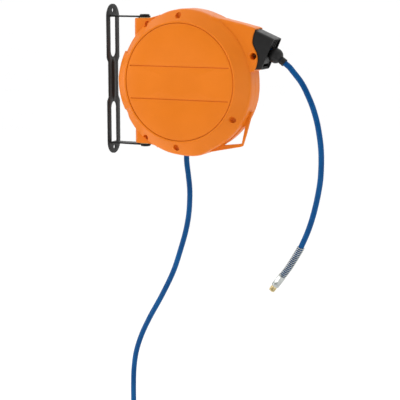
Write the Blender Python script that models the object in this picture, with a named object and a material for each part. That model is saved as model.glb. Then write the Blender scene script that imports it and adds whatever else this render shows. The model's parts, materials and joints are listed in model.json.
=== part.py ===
"""Wall-mounted spring-rewind air hose reel, in metres, +Z up.

The origin is on the wall plate's back face, level with the drum's axis. +X points out from the
wall, -Y is the front of the reel. Every piece is built in world coordinates about the empties of its joint.
"""
import math

import bmesh
import bpy
from mathutils import Matrix, Vector

# ---- driving dimensions -------------------------------------------------------------------
GAP = 0.0003  # kept between pieces that touch
SEGMENTS = 48  # sides of the big turned pieces
FINE = 20  # sides of the small ones that fit in each other
COARSE = 12  # sides of screws and pins

PLATE_THICK = 0.003
PLATE_HALF_WIDTH = 0.027
PLATE_HALF_HEIGHT = 0.161
PLATE_MIDDLE = -0.002  # height of the plate's middle; the drum's axis is at 0
WAIST_HALF_WIDTH = 0.0205
WAIST_HALF_HEIGHT = 0.038
WAIST_TAPER = 0.008
ARM_HEIGHT = {1: 0.1330, -1: -0.1390}  # middle of the upper and the lower arm's thickness
ARM_HALF_WIDTH = 0.0125
SLOT_HALF_WIDTH = 0.013
SLOT_INNER_END = 0.048
END_HOLE_HEIGHT = 0.1475
END_HOLE_RADIUS = 0.0045

PIVOT_X = 0.0785
PIVOT_BOLT_RADIUS = 0.005
BUSH_RADIUS = 0.008
LUG_RADIUS = 0.020
UPPER_LUG = (0.089, 0.1300)  # bottom and top of each lug
LOWER_LUG = (-0.1360, -0.104)

DRUM_X = 0.180
CASE_RADIUS = 0.152
FACE_RADIUS = 0.1255
BAND_HALF = 0.021
FACE_Y = 0.049
WALL = 0.003
COVER_RADIUS = 0.1222
COVER_THICK = 0.003
COVER_OPENING = 0.113
LEDGE_Y = 0.0427

HOSE_RADIUS = 0.006
COIL_INNER = 0.091
COIL_OUTER = 0.1244
COIL_FRONT = -0.0209
COIL_REAR = 0.0282
FLANGE_RADIUS = 0.129
FLANGE_THICK = 0.0025
HUB_RADIUS = 0.0905
HUB_WALL = 0.003
SHAFT_RADIUS = 0.014
SHAFT_BORE = 0.005
BUSH_OUTER = 0.0187

NECK_HALF = 0.026
GUIDE_HALF = 0.023
GUIDE_WALL = 0.0025
BALL_RADIUS = 0.0157
BALL_CENTRE = Vector((DRUM_X + 0.1963, 0, 0.0576))
EXIT_DROP = math.radians(36)  # how far the hose points below the horizontal as it leaves
EXIT = Vector((math.cos(EXIT_DROP), 0, -math.sin(EXIT_DROP)))
ABOVE_EXIT = Vector((math.sin(EXIT_DROP), 0, math.cos(EXIT_DROP)))
COLLAR_START = 0.0148
COLLAR_END = 0.025
ROLLER_RADIUS = 0.005
ROLLER_BACK = 0.026
PIN_RADIUS = 0.002
PIN_REACH = 0.0222  # how far the roller pins go into the nozzle's side walls

SCREW_HEAD_RADIUS = 0.0045
SCREW_RADIUS = 0.002
BOSS_RADIUS = 0.0075
RECESS_RADIUS = 0.0060

RATCHET_TEETH = 20
RATCHET_OUTER = 0.064
RATCHET_ROOT = 0.058
RATCHET_PHASE = math.radians(1.0)  # puts a gap in front of the pawl's nose
PAWL_PIVOT = Vector((DRUM_X, 0, -0.084))

INLET_Y = 0.070
GUARD_RADIUS = 0.0076
GUARD_LENGTH = 0.076
FERRULE_RADIUS = 0.0083
FERRULE_LENGTH = 0.0285
NIPPLE_RADIUS = 0.0066
NIPPLE_LENGTH = 0.013
NIPPLE_BORE = 0.0035

# Where the casing screws stand: name, x from the drum's axis, z, and the depth of the head's seat.
SCREWS = (
    ("case_screw_top", -0.0054, 0.1379, -0.008),
    ("case_screw_bottom", -0.0101, -0.1386, -0.008),
    ("case_screw_right", 0.1177, -0.0739, -0.008),
    ("case_screw_nozzle", 0.1570, 0.0567, -0.006),
    ("case_screw_upper_lug", -0.0865, 0.1180, -0.004),
    ("case_screw_lower_lug", -0.0865, -0.1220, -0.004),
)

# Outline of the neck that carries the nozzle, from the drum's axis (x, z), clockwise from the top.
NECK_OUTLINE = (
    (0.060, 0.125), (0.0655, 0.1373), (0.079, 0.1328), (0.106, 0.1273), (0.133, 0.1213),
    (0.157, 0.1148), (0.1605, 0.1115), (0.1560, 0.098), (0.1545, 0.084), (0.1585, 0.0735),
    (0.1635, 0.064), (0.1660, 0.053), (0.1650, 0.042), (0.1615, 0.031), (0.1575, 0.0265),
    (0.148, 0.0255), (0.120, 0.030), (0.060, 0.060),
)
NECK_CAVITY = (
    (0.060, 0.060), (0.060, 0.1275), (0.0665, 0.1335), (0.079, 0.1297), (0.106, 0.1242),
    (0.133, 0.1182), (0.157, 0.1116), (0.185, 0.1040), (0.185, 0.0290), (0.120, 0.0290),
)
GUIDE_OUTLINE = (
    (0.1380, 0.1160), (0.1565, 0.1107), (0.2005, 0.0922), (0.1735, 0.0295), (0.1470, 0.0295),
    (0.1430, 0.0700),
)
HANDLE_HALF = 0.0035
HANDLE_OUTER = (
    (0.120, -0.070), (0.1470, -0.0586), (0.1408, -0.0810), (0.1343, -0.1045), (0.1270, -0.1280),
    (0.1248, -0.1322), (0.1200, -0.1342), (0.0495, -0.1488), (0.040, -0.135), (0.090, -0.090),
)
# Inner corners of the grip's opening: against the casing, and in the grip's elbow.
HANDLE_CORNERS = ((0.1318, -0.0896), (0.1240, -0.1270))
HANDLE_OPENING_RADIUS = 0.1560
HANDLE_OPENING_ANGLES = (-58.0, -36.5)

# Free hose, from the collar to the crimped end, in the reel's middle plane (x, z).
OUTLET_ROUTE = (
    (0.4065, 0.0352), (0.4155, 0.0250), (0.4290, 0.0095), (0.4395, -0.0062), (0.4475, -0.0220),
    (0.4550, -0.0380), (0.4610, -0.0540), (0.4660, -0.0700), (0.4700, -0.0865),
    (0.4743, -0.1100), (0.4768, -0.1310), (0.4778, -0.1530), (0.4775, -0.1760),
    (0.4757, -0.2000), (0.4700, -0.2340), (0.4620, -0.2680), (0.4512, -0.3020),
    (0.4366, -0.3360), (0.4278, -0.3525), (0.4180, -0.3692), (0.4080, -0.3850),
    (0.3969, -0.4003),
)
# Hose from the swivel at the back down to the air supply (x, z), behind the casing.
INLET_ROUTE = (
    (0.1800, -0.0243), (0.1800, -0.0400), (0.1785, -0.0600), (0.1722, -0.0850),
    (0.1610, -0.1120), (0.1500, -0.1390), (0.1440, -0.1640), (0.1440, -0.1860),
    (0.1475, -0.2120), (0.1505, -0.2390), (0.1510, -0.2640), (0.1485, -0.3000),
    (0.1415, -0.3370), (0.1295, -0.3780), (0.1100, -0.4340), (0.0805, -0.4930),
    (0.0510, -0.5450), (0.0300, -0.5880), (0.0160, -0.6290), (0.0095, -0.6700),
    (0.0078, -0.7100), (0.0078, -0.7500), (0.0085, -0.7900), (0.0095, -0.8300),
    (0.0100, -0.8700), (0.0100, -0.9260),
)
# Hose from the coil to the nozzle, inside the casing, from the drum's axis (x, z).
LEAD_ROUTE = (
    (0.0447, 0.1230), (0.0750, 0.1122), (0.1050, 0.1014), (0.1300, 0.0924), (0.1500, 0.0851),
    (0.1630, 0.0799),
)
# Hose from the swivel to the coil, inside the hub, from the drum's axis (x, z).
TAIL_ROUTE = (
    (0.0385, 0.0), (0.0470, -0.0005), (0.0540, -0.0060), (0.0565, -0.0160), (0.0545, -0.0280),
    (0.0500, -0.0390), (0.0485, -0.0500), (0.0512, -0.0605), (0.0578, -0.0688),
)
TAIL_Y = 0.0190

COLOURS = {
    "case_orange": ((0.87, 0.24, 0.03), 0.38, 0.0),
    "bracket_black": ((0.025, 0.025, 0.024), 0.45, 0.6),
    "guide_black": ((0.022, 0.022, 0.022), 0.55, 0.0),
    "hose_blue": ((0.012, 0.11, 0.27), 0.22, 0.0),
    "steel": ((0.55, 0.56, 0.57), 0.30, 1.0),
    "brass": ((0.72, 0.50, 0.20), 0.28, 1.0),
    "drum_grey": ((0.12, 0.12, 0.12), 0.60, 0.0),
    "nylon_white": ((0.75, 0.74, 0.70), 0.45, 0.0),
    "rubber": ((0.02, 0.02, 0.02), 0.75, 0.0),
    "screw_black": ((0.04, 0.04, 0.038), 0.42, 0.7),
    "roller_maroon": ((0.13, 0.023, 0.017), 0.45, 0.0),
}


# ---- tools --------------------------------------------------------------------------------
def clear_scene():
    for obj in list(bpy.data.objects):
        bpy.data.objects.remove(obj, do_unlink=True)


def material(name):
    found = bpy.data.materials.get(name)
    if found:
        return found
    colour, roughness, metallic = COLOURS[name]
    made = bpy.data.materials.new(name)
    made.use_nodes = True
    shader = made.node_tree.nodes["Principled BSDF"]
    shader.inputs["Base Color"].default_value = (*colour, 1)
    shader.inputs["Roughness"].default_value = roughness
    shader.inputs["Metallic"].default_value = metallic
    made.diffuse_color = (*colour, 1)
    return made


def empty(name, location, parent=None):
    """An empty on a joint's axis, given in world coordinates."""
    axis = bpy.data.objects.new(name, None)
    bpy.context.collection.objects.link(axis)
    axis.parent = parent
    held = parent["world"] if parent else (0, 0, 0)
    axis.location = Vector(location) - Vector(held)
    axis["world"] = list(location)
    return axis


def along(point, direction):
    """A matrix whose local Z runs along direction from point."""
    turn = Vector(direction).to_track_quat("Z", "Y").to_matrix().to_4x4()
    return Matrix.Translation(point) @ turn


def from_axis(x, z, y=0.0):
    """A point given from the drum's axis."""
    return Vector((DRUM_X + x, y, z))


def arc(centre, radius, start, end, steps):
    """Points on an arc, angles in degrees."""
    angles = [math.radians(start + (end - start) * k / steps) for k in range(steps + 1)]
    return [(centre[0] + radius * math.cos(a), centre[1] + radius * math.sin(a)) for a in angles]


def turned(profile, place, segments=SEGMENTS):
    """A (radius, height) outline turned about the local Z of place.

    An outline that starts and ends on the axis makes a solid with flat ends; any other is a ring.
    """
    bm = bmesh.new()
    angles = [2 * math.pi * k / segments for k in range(segments)]
    rings = [[bm.verts.new(place @ Vector((radius * math.cos(a), radius * math.sin(a), height)))
              for a in angles] for radius, height in profile if radius > 0]
    solid = len(rings) < len(profile)
    if solid:
        bm.faces.new(rings[0])
        bm.faces.new(rings[-1])
    for here, there in zip(rings, rings[1:] if solid else rings[1:] + rings[:1]):
        for k in range(segments):
            n = (k + 1) % segments
            bm.faces.new((here[k], here[n], there[n], there[k]))
    bmesh.ops.recalc_face_normals(bm, faces=bm.faces)
    return bm


def prism(outline, axis, low, high):
    """A flat outline extruded along X, Y or Z. It is (y, z), (x, z) or (x, y)."""
    place = {
        "X": lambda a, b, h: (h, a, b),
        "Y": lambda a, b, h: (a, h, b),
        "Z": lambda a, b, h: (a, b, h),
    }[axis]
    bm = bmesh.new()
    lower = [bm.verts.new(place(a, b, low)) for a, b in outline]
    upper = [bm.verts.new(place(a, b, high)) for a, b in outline]
    bm.faces.new(lower)
    bm.faces.new(upper)
    for k in range(len(outline)):
        n = (k + 1) % len(outline)
        bm.faces.new((lower[k], lower[n], upper[n], upper[k]))
    bmesh.ops.recalc_face_normals(bm, faces=bm.faces)
    return bm


def from_drum(outline):
    """An (x, z) outline given from the drum's axis, in world coordinates."""
    return [(DRUM_X + x, z) for x, z in outline]


def rod(point, direction, radius, length, segments=FINE):
    """A plain cylinder that starts at point."""
    return turned([(0, 0), (radius, 0), (radius, length), (0, length)], along(point, direction), segments)


def pipe(point, direction, inner, outer, length, segments=FINE):
    """A plain tube that starts at point."""
    profile = [(inner, 0), (outer, 0), (outer, length), (inner, length)]
    return turned(profile, along(point, direction), segments)


def piece(name, bm, paint, axis, smooth=True):
    """One sub-part, with its origin on the axis it follows."""
    mesh = bpy.data.meshes.new(name)
    bm.transform(Matrix.Translation(-Vector(axis["world"])))
    bm.to_mesh(mesh)
    bm.free()
    if smooth:
        mesh.shade_smooth()
        mesh.set_sharp_from_angle(angle=math.radians(35))
    mesh.materials.append(material(paint))
    obj = bpy.data.objects.new(name, mesh)
    bpy.context.collection.objects.link(obj)
    obj.parent = axis
    return obj


def shape(obj, operation, bm):
    """Joins a shape to a piece, or cuts it from the piece, with a Boolean."""
    mesh = bpy.data.meshes.new(f"{obj.name}_tool")
    bm.to_mesh(mesh)
    bm.free()
    tool = bpy.data.objects.new(f"{obj.name}_tool", mesh)
    bpy.context.collection.objects.link(tool)
    tool.hide_render = True
    tool.display_type = "WIRE"
    modifier = obj.modifiers.new(operation.lower(), "BOOLEAN")
    modifier.operation = operation
    modifier.solver = "EXACT"
    modifier.object = tool
    return tool


def join(obj, bm):
    return shape(obj, "UNION", bm)


def cut(obj, bm):
    return shape(obj, "DIFFERENCE", bm)


def smooth_route(route, spacing):
    """Even points along a smooth curve through the route's own points."""
    route = [Vector(p) for p in route]
    ends = [route[0] * 2 - route[1], *route, route[-1] * 2 - route[-2]]
    fine = []
    for a, b, c, d in zip(ends, ends[1:], ends[2:], ends[3:]):
        for k in range(16):
            t = k / 16
            fine.append(0.5 * (2 * b + (c - a) * t + (2 * a - 5 * b + 4 * c - d) * t * t
                               + (3 * b - a - 3 * c + d) * t ** 3))
    fine.append(route[-1])
    lengths = [0.0]
    for a, b in zip(fine, fine[1:]):
        lengths.append(lengths[-1] + (b - a).length)
    count = max(2, round(lengths[-1] / spacing))
    points = []
    k = 0
    for step in range(count + 1):
        wanted = lengths[-1] * step / count
        while k < len(fine) - 2 and lengths[k + 1] < wanted:
            k += 1
        share = (wanted - lengths[k]) / (lengths[k + 1] - lengths[k])
        points.append(fine[k].lerp(fine[k + 1], share))
    return points


def hose(name, route, axis, spacing=0.026):
    """A round hose along a smooth curve through the route's points."""
    curve = bpy.data.curves.new(name, "CURVE")
    curve.dimensions = "3D"
    curve.bevel_depth = HOSE_RADIUS
    curve.bevel_resolution = 2
    curve.use_fill_caps = True
    spline = curve.splines.new("POLY")
    points = smooth_route(route, spacing)
    near = smooth_route(route, 0.003)
    points = [points[0], near[1], *points[1:-1], near[-2], points[-1]]  # square the two ends
    spline.points.add(len(points) - 1)
    for target, point in zip(spline.points, points):
        target.co = (*(point - Vector(axis["world"])), 1)
    curve.materials.append(material("hose_blue"))
    obj = bpy.data.objects.new(name, curve)
    bpy.context.collection.objects.link(obj)
    obj.parent = axis
    return obj


def sleeve(route, inner, outer, sides=16):
    """A tube with a bore, swept along a route that lies in an XZ plane."""
    bm = bmesh.new()
    points = [Vector(p) for p in route]
    rings = []
    for k, point in enumerate(points):
        ahead = (points[min(k + 1, len(points) - 1)] - points[max(k - 1, 0)]).normalized()
        side = Vector((0, 1, 0))
        across = ahead.cross(side)
        angles = [2 * math.pi * n / sides for n in range(sides)]
        spokes = [side * math.cos(a) + across * math.sin(a) for a in angles]
        rings.append([[bm.verts.new(point + s * r) for s in spokes] for r in (inner, outer)])
    for n in range(sides):
        m = (n + 1) % sides
        for here, there in zip(rings, rings[1:]):
            for which in (0, 1):
                bm.faces.new((here[which][n], here[which][m], there[which][m], there[which][n]))
        for ring in (rings[0], rings[-1]):
            bm.faces.new((ring[0][n], ring[0][m], ring[1][m], ring[1][n]))
    bmesh.ops.recalc_face_normals(bm, faces=bm.faces)
    return bm


# ---- wall bracket -------------------------------------------------------------------------
def plate_outline():
    """Half-round ends and a narrower waist, as (y, z)."""
    end = PLATE_HALF_HEIGHT - PLATE_HALF_WIDTH
    shoulder = WAIST_HALF_HEIGHT + WAIST_TAPER
    right = [(PLATE_HALF_WIDTH, -shoulder), (WAIST_HALF_WIDTH, -WAIST_HALF_HEIGHT),
             (WAIST_HALF_WIDTH, WAIST_HALF_HEIGHT), (PLATE_HALF_WIDTH, shoulder)]
    left = [(-y, -z) for y, z in right]
    top = arc((0, end), PLATE_HALF_WIDTH, 0, 180, 14)
    bottom = arc((0, -end), PLATE_HALF_WIDTH, 180, 360, 14)
    return [(y, z + PLATE_MIDDLE) for y, z in right + top + left + bottom]


def slot_outline(sign):
    """The slot that the arm was bent out of: square at the arm, round at the other end."""
    centre = PLATE_MIDDLE + sign * (SLOT_INNER_END + SLOT_HALF_WIDTH)
    square_end = ARM_HEIGHT[sign] - sign * (PLATE_THICK / 2 + GAP)
    round_end = arc((0, 0), SLOT_HALF_WIDTH, 180, 360, 12)
    points = [(SLOT_HALF_WIDTH, square_end), (-SLOT_HALF_WIDTH, square_end)]
    return points + [(y, centre + sign * z) for y, z in round_end]


def make_bracket(root):
    bracket = piece("wall_bracket", prism(plate_outline(), "X", 0, PLATE_THICK), "bracket_black", root)
    low, high = PLATE_MIDDLE - 0.040, PLATE_MIDDLE + 0.040
    bead = [(-0.006, low), (0.006, low), (0.006, high), (-0.006, high)]
    join(bracket, prism(bead, "X", PLATE_THICK - 0.001, PLATE_THICK + 0.0022))
    for sign in (1, -1):
        cut(bracket, prism(slot_outline(sign), "X", -0.001, PLATE_THICK + 0.001))
        hole_height = PLATE_MIDDLE + sign * END_HOLE_HEIGHT
        cut(bracket, rod((-0.001, 0, hole_height), (1, 0, 0), END_HOLE_RADIUS, 0.006))
        arm = [(0.0005, ARM_HALF_WIDTH), (0.0005, -ARM_HALF_WIDTH)]
        arm += arc((PIVOT_X, 0), ARM_HALF_WIDTH, -90, 90, 14)
        middle = ARM_HEIGHT[sign]
        join(bracket, prism(arm, "Z", middle - PLATE_THICK / 2, middle + PLATE_THICK / 2))
        hole = PIVOT_BOLT_RADIUS + GAP
        cut(bracket, rod((PIVOT_X, 0, middle - 0.004), (0, 0, 1), hole, 0.008))
        make_pivot(root, sign)


def make_pivot(root, sign):
    """The bolt that the casing swings on and the washer between arm and lug."""
    side = "upper" if sign > 0 else "lower"
    arm_face = ARM_HEIGHT[sign] + sign * (PLATE_THICK / 2 + GAP)
    head = [(0, -0.036), (PIVOT_BOLT_RADIUS, -0.036), (PIVOT_BOLT_RADIUS, 0.0), (0.0105, 0.0),
            (0.0105, 0.0016), (0.0092, 0.0030), (0.0035, 0.0034), (0.0035, 0.0015), (0, 0.0015)]
    place = along((PIVOT_X, 0, arm_face), (0, 0, sign))
    piece(f"{side}_pivot_bolt", turned(head, place, FINE), "bracket_black", root)
    lug_face = UPPER_LUG[1] if sign > 0 else LOWER_LUG[0]
    washer_foot = (PIVOT_X, 0, lug_face + sign * GAP)
    washer = pipe(washer_foot, (0, 0, sign), PIVOT_BOLT_RADIUS + GAP, 0.014, 0.0009)
    piece(f"{side}_pivot_washer", washer, "brass", root)


# ---- casing -------------------------------------------------------------------------------
def case_profile(side):
    """The outside of one half, as (radius, depth) about the drum's axis."""
    return [(0, side * FACE_Y), (FACE_RADIUS, side * FACE_Y),
            (CASE_RADIUS - 0.001, side * (BAND_HALF + 0.0025)), (CASE_RADIUS, side * BAND_HALF),
            (CASE_RADIUS, side * GAP / 2), (0, side * GAP / 2)]


def cavity_profile(side):
    """The inside of one half. The front face is deeper, to carry the cover's seat."""
    floor = LEDGE_Y if side < 0 else FACE_Y - WALL
    inner = CASE_RADIUS - WALL
    slant = FACE_RADIUS + FACE_Y - WALL * math.sqrt(2)  # radius + depth along the sloping wall
    return [(0, side * floor), (slant - floor, side * floor),
            (inner - 0.001, side * (slant - inner + 0.001)), (inner, side * (BAND_HALF - 0.001)),
            (inner, -side * 0.002), (0, -side * 0.002)]


def make_cavity(side):
    """The hollow of one half, less the bosses that stand in it."""
    y_axis = along((DRUM_X, 0, 0), (0, 1, 0))
    hollow = bpy.data.meshes.new("cavity_tool")
    bm = turned(cavity_profile(side), y_axis)
    bm.to_mesh(hollow)
    bm.free()
    obj = bpy.data.objects.new("cavity_tool", hollow)
    bpy.context.collection.objects.link(obj)
    obj.hide_render = True
    obj.display_type = "WIRE"
    depth = NECK_HALF - WALL + GAP
    join(obj, prism(from_drum(NECK_CAVITY), "Y", *sorted((side * depth, -side * 0.0015))))
    for _, x, z, _ in SCREWS:
        cut(obj, rod(from_axis(x, z, -0.060), (0, 1, 0), BOSS_RADIUS, 0.120, COARSE))
    if side > 0:
        cut(obj, rod((PAWL_PIVOT.x, 0.037, PAWL_PIVOT.z), (0, 1, 0), 0.007, 0.02, COARSE))
        cut(obj, rod((DRUM_X, 0.040, 0), (0, 1, 0), 0.026, 0.02))
    return obj


def lug_outline(side):
    """Half of a pivot lug, round about the pivot and running into the drum's wall, as (x, y)."""
    reach = PIVOT_X + 0.032
    round_end = arc((PIVOT_X, 0), LUG_RADIUS, side * 90, side * 179, 10)
    parting = side * GAP / 2
    return [(reach, parting), (reach, side * LUG_RADIUS), *round_end, (PIVOT_X - LUG_RADIUS, parting)]


def make_shell(name, side, axis):
    y_axis = along((DRUM_X, 0, 0), (0, 1, 0))
    shell = piece(name, turned(case_profile(side), y_axis), "case_orange", axis)
    span = sorted((side * NECK_HALF, side * GAP / 2))
    join(shell, prism(from_drum(NECK_OUTLINE), "Y", *span))
    for low, high in (UPPER_LUG, LOWER_LUG):
        join(shell, prism(lug_outline(side), "Z", low, high))
        cut(shell, rod((PIVOT_X, 0, low - 0.001), (0, 0, 1), BUSH_RADIUS + GAP, high - low + 0.002))
    grip = sorted((side * HANDLE_HALF, side * GAP / 2))
    join(shell, prism(from_drum(HANDLE_OUTER), "Y", *grip))
    opening = arc((0, 0), HANDLE_OPENING_RADIUS, *HANDLE_OPENING_ANGLES, 8) + list(HANDLE_CORNERS)
    cut(shell, prism(from_drum(opening), "Y", -0.03, 0.03))
    cavity = make_cavity(side)
    modifier = shell.modifiers.new("hollow", "BOOLEAN")
    modifier.solver = "EXACT"
    modifier.object = cavity
    for _, x, z, seat in SCREWS:
        if side < 0:
            cut(shell, rod(from_axis(x, z, -0.060), (0, 1, 0), RECESS_RADIUS, seat + 0.060, COARSE))
            cut(shell, rod(from_axis(x, z, -0.060), (0, 1, 0), SCREW_RADIUS + GAP, 0.065, COARSE))
        else:
            cut(shell, rod(from_axis(x, z, -0.002), (0, 1, 0), SCREW_RADIUS + GAP, 0.0178, COARSE))
    if side < 0:
        cut(shell, rod((DRUM_X, -0.060, 0), (0, 1, 0), COVER_OPENING, 0.030))
        seat = COVER_RADIUS + GAP
        depth = 0.060 - FACE_Y + COVER_THICK + GAP
        cut(shell, rod((DRUM_X, -0.060, 0), (0, 1, 0), seat, depth, SEGMENTS))
    else:
        cut(shell, rod((DRUM_X, 0.030, 0), (0, 1, 0), SHAFT_RADIUS + GAP, 0.030))
        cut(shell, rod((PAWL_PIVOT.x, 0.036, PAWL_PIVOT.z), (0, 1, 0), 0.003 + GAP, 0.0083, 20))
    return shell


def make_casing(axis):
    y_axis = along((DRUM_X, 0, 0), (0, 1, 0))
    make_shell("front_shell", -1, axis)
    make_shell("rear_shell", 1, axis)
    back = -FACE_Y + COVER_THICK
    cover = [(0, -FACE_Y), (COVER_RADIUS, -FACE_Y), (COVER_RADIUS, back), (0.0140, back),
             (0.0140, -0.0385), (0.0103, -0.0385), (0.0103, back), (0, back)]
    cover_piece = piece("front_cover", turned(cover, y_axis), "case_orange", axis)
    for height in (0.0325, -0.0361):
        line = [(DRUM_X - 0.113, height - 0.0004), (DRUM_X + 0.113, height - 0.0004),
                (DRUM_X + 0.113, height + 0.0004), (DRUM_X - 0.113, height + 0.0004)]
        cut(cover_piece, prism(line, "Y", -FACE_Y - 0.001, -FACE_Y + 0.0008))
    for name, x, z, seat in SCREWS:
        tip = -seat + 0.0145 + 0.0030
        screw = [(0, 0), (SCREW_HEAD_RADIUS, 0.0008), (SCREW_HEAD_RADIUS, 0.0027), (SCREW_RADIUS, 0.0027),
                 (SCREW_RADIUS, tip), (0, tip)]
        place = along(from_axis(x, z, seat - 0.0030), (0, 1, 0))
        piece(name, turned(screw, place, COARSE), "screw_black", axis)
    bore = PIVOT_BOLT_RADIUS + GAP
    for side, (low, high) in (("upper", UPPER_LUG), ("lower", LOWER_LUG)):
        bush = pipe((PIVOT_X, 0, low + 0.001), (0, 0, 1), bore, BUSH_RADIUS, high - low - 0.002)
        piece(f"{side}_pivot_bush", bush, "nylon_white", axis)


# ---- nozzle, rollers and ball stop --------------------------------------------------------
def roller_centre(side):
    offset = ABOVE_EXIT * side * (HOSE_RADIUS + ROLLER_RADIUS + 0.0005)
    return BALL_CENTRE - EXIT * ROLLER_BACK + offset


def make_guide(axis):
    """The black nozzle: a flat funnel with a stop plate just inside its slanted mouth."""
    guide = piece("outlet_guide", prism(from_drum(GUIDE_OUTLINE), "Y", -GUIDE_HALF, GUIDE_HALF),
                  "guide_black", axis)
    top_left, top_mid, mouth_top, mouth_low, tail_low, _ = GUIDE_OUTLINE
    slant = Vector((mouth_low[0] - mouth_top[0], mouth_low[1] - mouth_top[1])).normalized()
    inward = Vector((slant.y, -slant.x))
    inside = GUIDE_HALF - GUIDE_WALL
    chamber_depth, plate_front = 0.0032, 0.0012
    top = Vector(mouth_top) + slant * GUIDE_WALL * 1.1
    low = Vector(mouth_low) - slant * GUIDE_WALL * 1.1
    outside, front = -inward * 0.01, inward * plate_front
    mouth = [top + outside, top + front, low + front, low + outside]
    cut(guide, prism(from_drum([tuple(p) for p in mouth]), "Y", -inside, inside))
    chamber = [tuple(top + inward * chamber_depth), (top_mid[0], top_mid[1] - GUIDE_WALL * 1.05),
               (top_left[0] - 0.010, top_left[1] - GUIDE_WALL + 0.002), (0.120, tail_low[1] + GUIDE_WALL),
               (mouth_low[0] - 0.004, tail_low[1] + GUIDE_WALL), tuple(low + inward * chamber_depth)]
    cut(guide, prism(from_drum(chamber), "Y", -inside, inside))
    cut(guide, rod(BALL_CENTRE - EXIT * 0.022, EXIT, HOSE_RADIUS + 0.0014, 0.030, 24))
    seat = [(r, h) for h, r in arc((0, 0), BALL_RADIUS + 0.0006, 0, 180, 12)]
    cut(guide, turned([(0, seat[0][1]), *seat[1:-1], (0, seat[-1][1])], along(BALL_CENTRE, EXIT), 24))
    _, x, z, _ = SCREWS[3]
    cut(guide, rod(from_axis(x, z, -0.03), (0, 1, 0), BOSS_RADIUS + 0.0006, 0.06, 16))
    for side in (1, -1):
        pin = roller_centre(side) - Vector((0, PIN_REACH + GAP, 0))
        cut(guide, rod(pin, (0, 1, 0), PIN_RADIUS + GAP, 2 * (PIN_REACH + GAP), COARSE))
    return guide


def make_rollers(axis, upper_axis, lower_axis):
    for side, name, spin in ((1, "upper", upper_axis), (-1, "lower", lower_axis)):
        centre = roller_centre(side)
        half = GUIDE_HALF - GUIDE_WALL - 0.0008
        waist = ROLLER_RADIUS - 0.0006
        bore = PIN_RADIUS + GAP
        profile = [(bore, -half), (ROLLER_RADIUS, -half), (ROLLER_RADIUS, -half * 0.5), (waist, 0),
                   (ROLLER_RADIUS, half * 0.5), (ROLLER_RADIUS, half), (bore, half)]
        piece(f"guide_roller_{name}", turned(profile, along(centre, (0, 1, 0)), FINE), "roller_maroon", spin)
        pin = rod(centre - Vector((0, PIN_REACH, 0)), (0, 1, 0), PIN_RADIUS, 2 * PIN_REACH, FINE)
        piece(f"roller_pin_{name}", pin, "steel", axis)


def make_ball(axis):
    """A rubber ball in two halves clamped on the hose, and the collar behind it."""
    bore = HOSE_RADIUS + GAP
    start = math.degrees(math.asin(bore / BALL_RADIUS))
    profile = [(r, -h) for h, r in arc((0, 0), BALL_RADIUS, start, 180 - start, 12)]
    for side, name in ((1, "upper"), (-1, "lower")):
        half = piece(f"stop_ball_{name}", turned(profile, along(BALL_CENTRE, EXIT), FINE), "rubber", axis)
        away = ABOVE_EXIT * side
        slab = rod(BALL_CENTRE + away * GAP / 2, -away, 0.030, 0.030, 12)
        cut(half, slab)
    collar = pipe(BALL_CENTRE + EXIT * COLLAR_START, EXIT, bore, 0.0080, COLLAR_END - COLLAR_START)
    piece("stop_collar", collar, "rubber", axis)


def route_end(route, plane_y):
    """The last point of a route and the direction it ends in."""
    (x0, z0), (x1, z1) = route[-2:]
    end = Vector((x1, plane_y, z1))
    return end, (end - Vector((x0, plane_y, z0))).normalized()


def make_fitting(prefix, route, plane_y, axis):
    """The spring guard, crimped ferrule and threaded nipple on a hose's end."""
    end, ahead = route_end(route, plane_y)
    points = [Vector((x, plane_y, z)) for x, z in route]
    fine = smooth_route(points, 0.004)
    fine = fine[-1 - round(GUARD_LENGTH / 0.004):]
    piece(f"{prefix}_spring_guard", sleeve(fine[::2], HOSE_RADIUS + 0.0005, GUARD_RADIUS), "steel", axis)
    ferrule = [(NIPPLE_BORE, 0), (0.0078, 0), (FERRULE_RADIUS, 0.0008), (FERRULE_RADIUS, 0.0190),
               (0.0074, 0.0195), (0.0074, 0.0210), (0.0082, 0.0215),
               (0.0082, FERRULE_LENGTH - 0.0006), (0.0076, FERRULE_LENGTH), (NIPPLE_BORE, FERRULE_LENGTH)]
    piece(f"{prefix}_ferrule", turned(ferrule, along(end + ahead * GAP, ahead), FINE), "steel", axis)
    foot = end + ahead * (FERRULE_LENGTH + 2 * GAP)
    nipple = [(NIPPLE_BORE, 0), (0.0058, 0), (0.0058, 0.0015), (NIPPLE_RADIUS, 0.0022),
              (NIPPLE_RADIUS, NIPPLE_LENGTH - 0.001), (0.0058, NIPPLE_LENGTH),
              (NIPPLE_BORE, NIPPLE_LENGTH)]
    piece(f"{prefix}_nipple", turned(nipple, along(foot, ahead), FINE), "brass", axis)


def make_hoses(axis):
    inside = [from_axis(x, z) for x, z in LEAD_ROUTE]
    inside += [BALL_CENTRE - EXIT * back for back in (0.026, 0.013, 0.0, -0.012)]
    inside.append(BALL_CENTRE + EXIT * COLLAR_END)
    hose("hose_lead", inside, axis, 0.018)
    start = BALL_CENTRE + EXIT * (COLLAR_END + GAP)
    hose("outlet_hose", [start, *(Vector((x, 0, z)) for x, z in OUTLET_ROUTE)], axis)
    make_fitting("outlet", OUTLET_ROUTE, 0.0, axis)
    hose("inlet_hose", [Vector((x, INLET_Y, z)) for x, z in INLET_ROUTE], axis)
    make_fitting("inlet", INLET_ROUTE, INLET_Y, axis)


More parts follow.
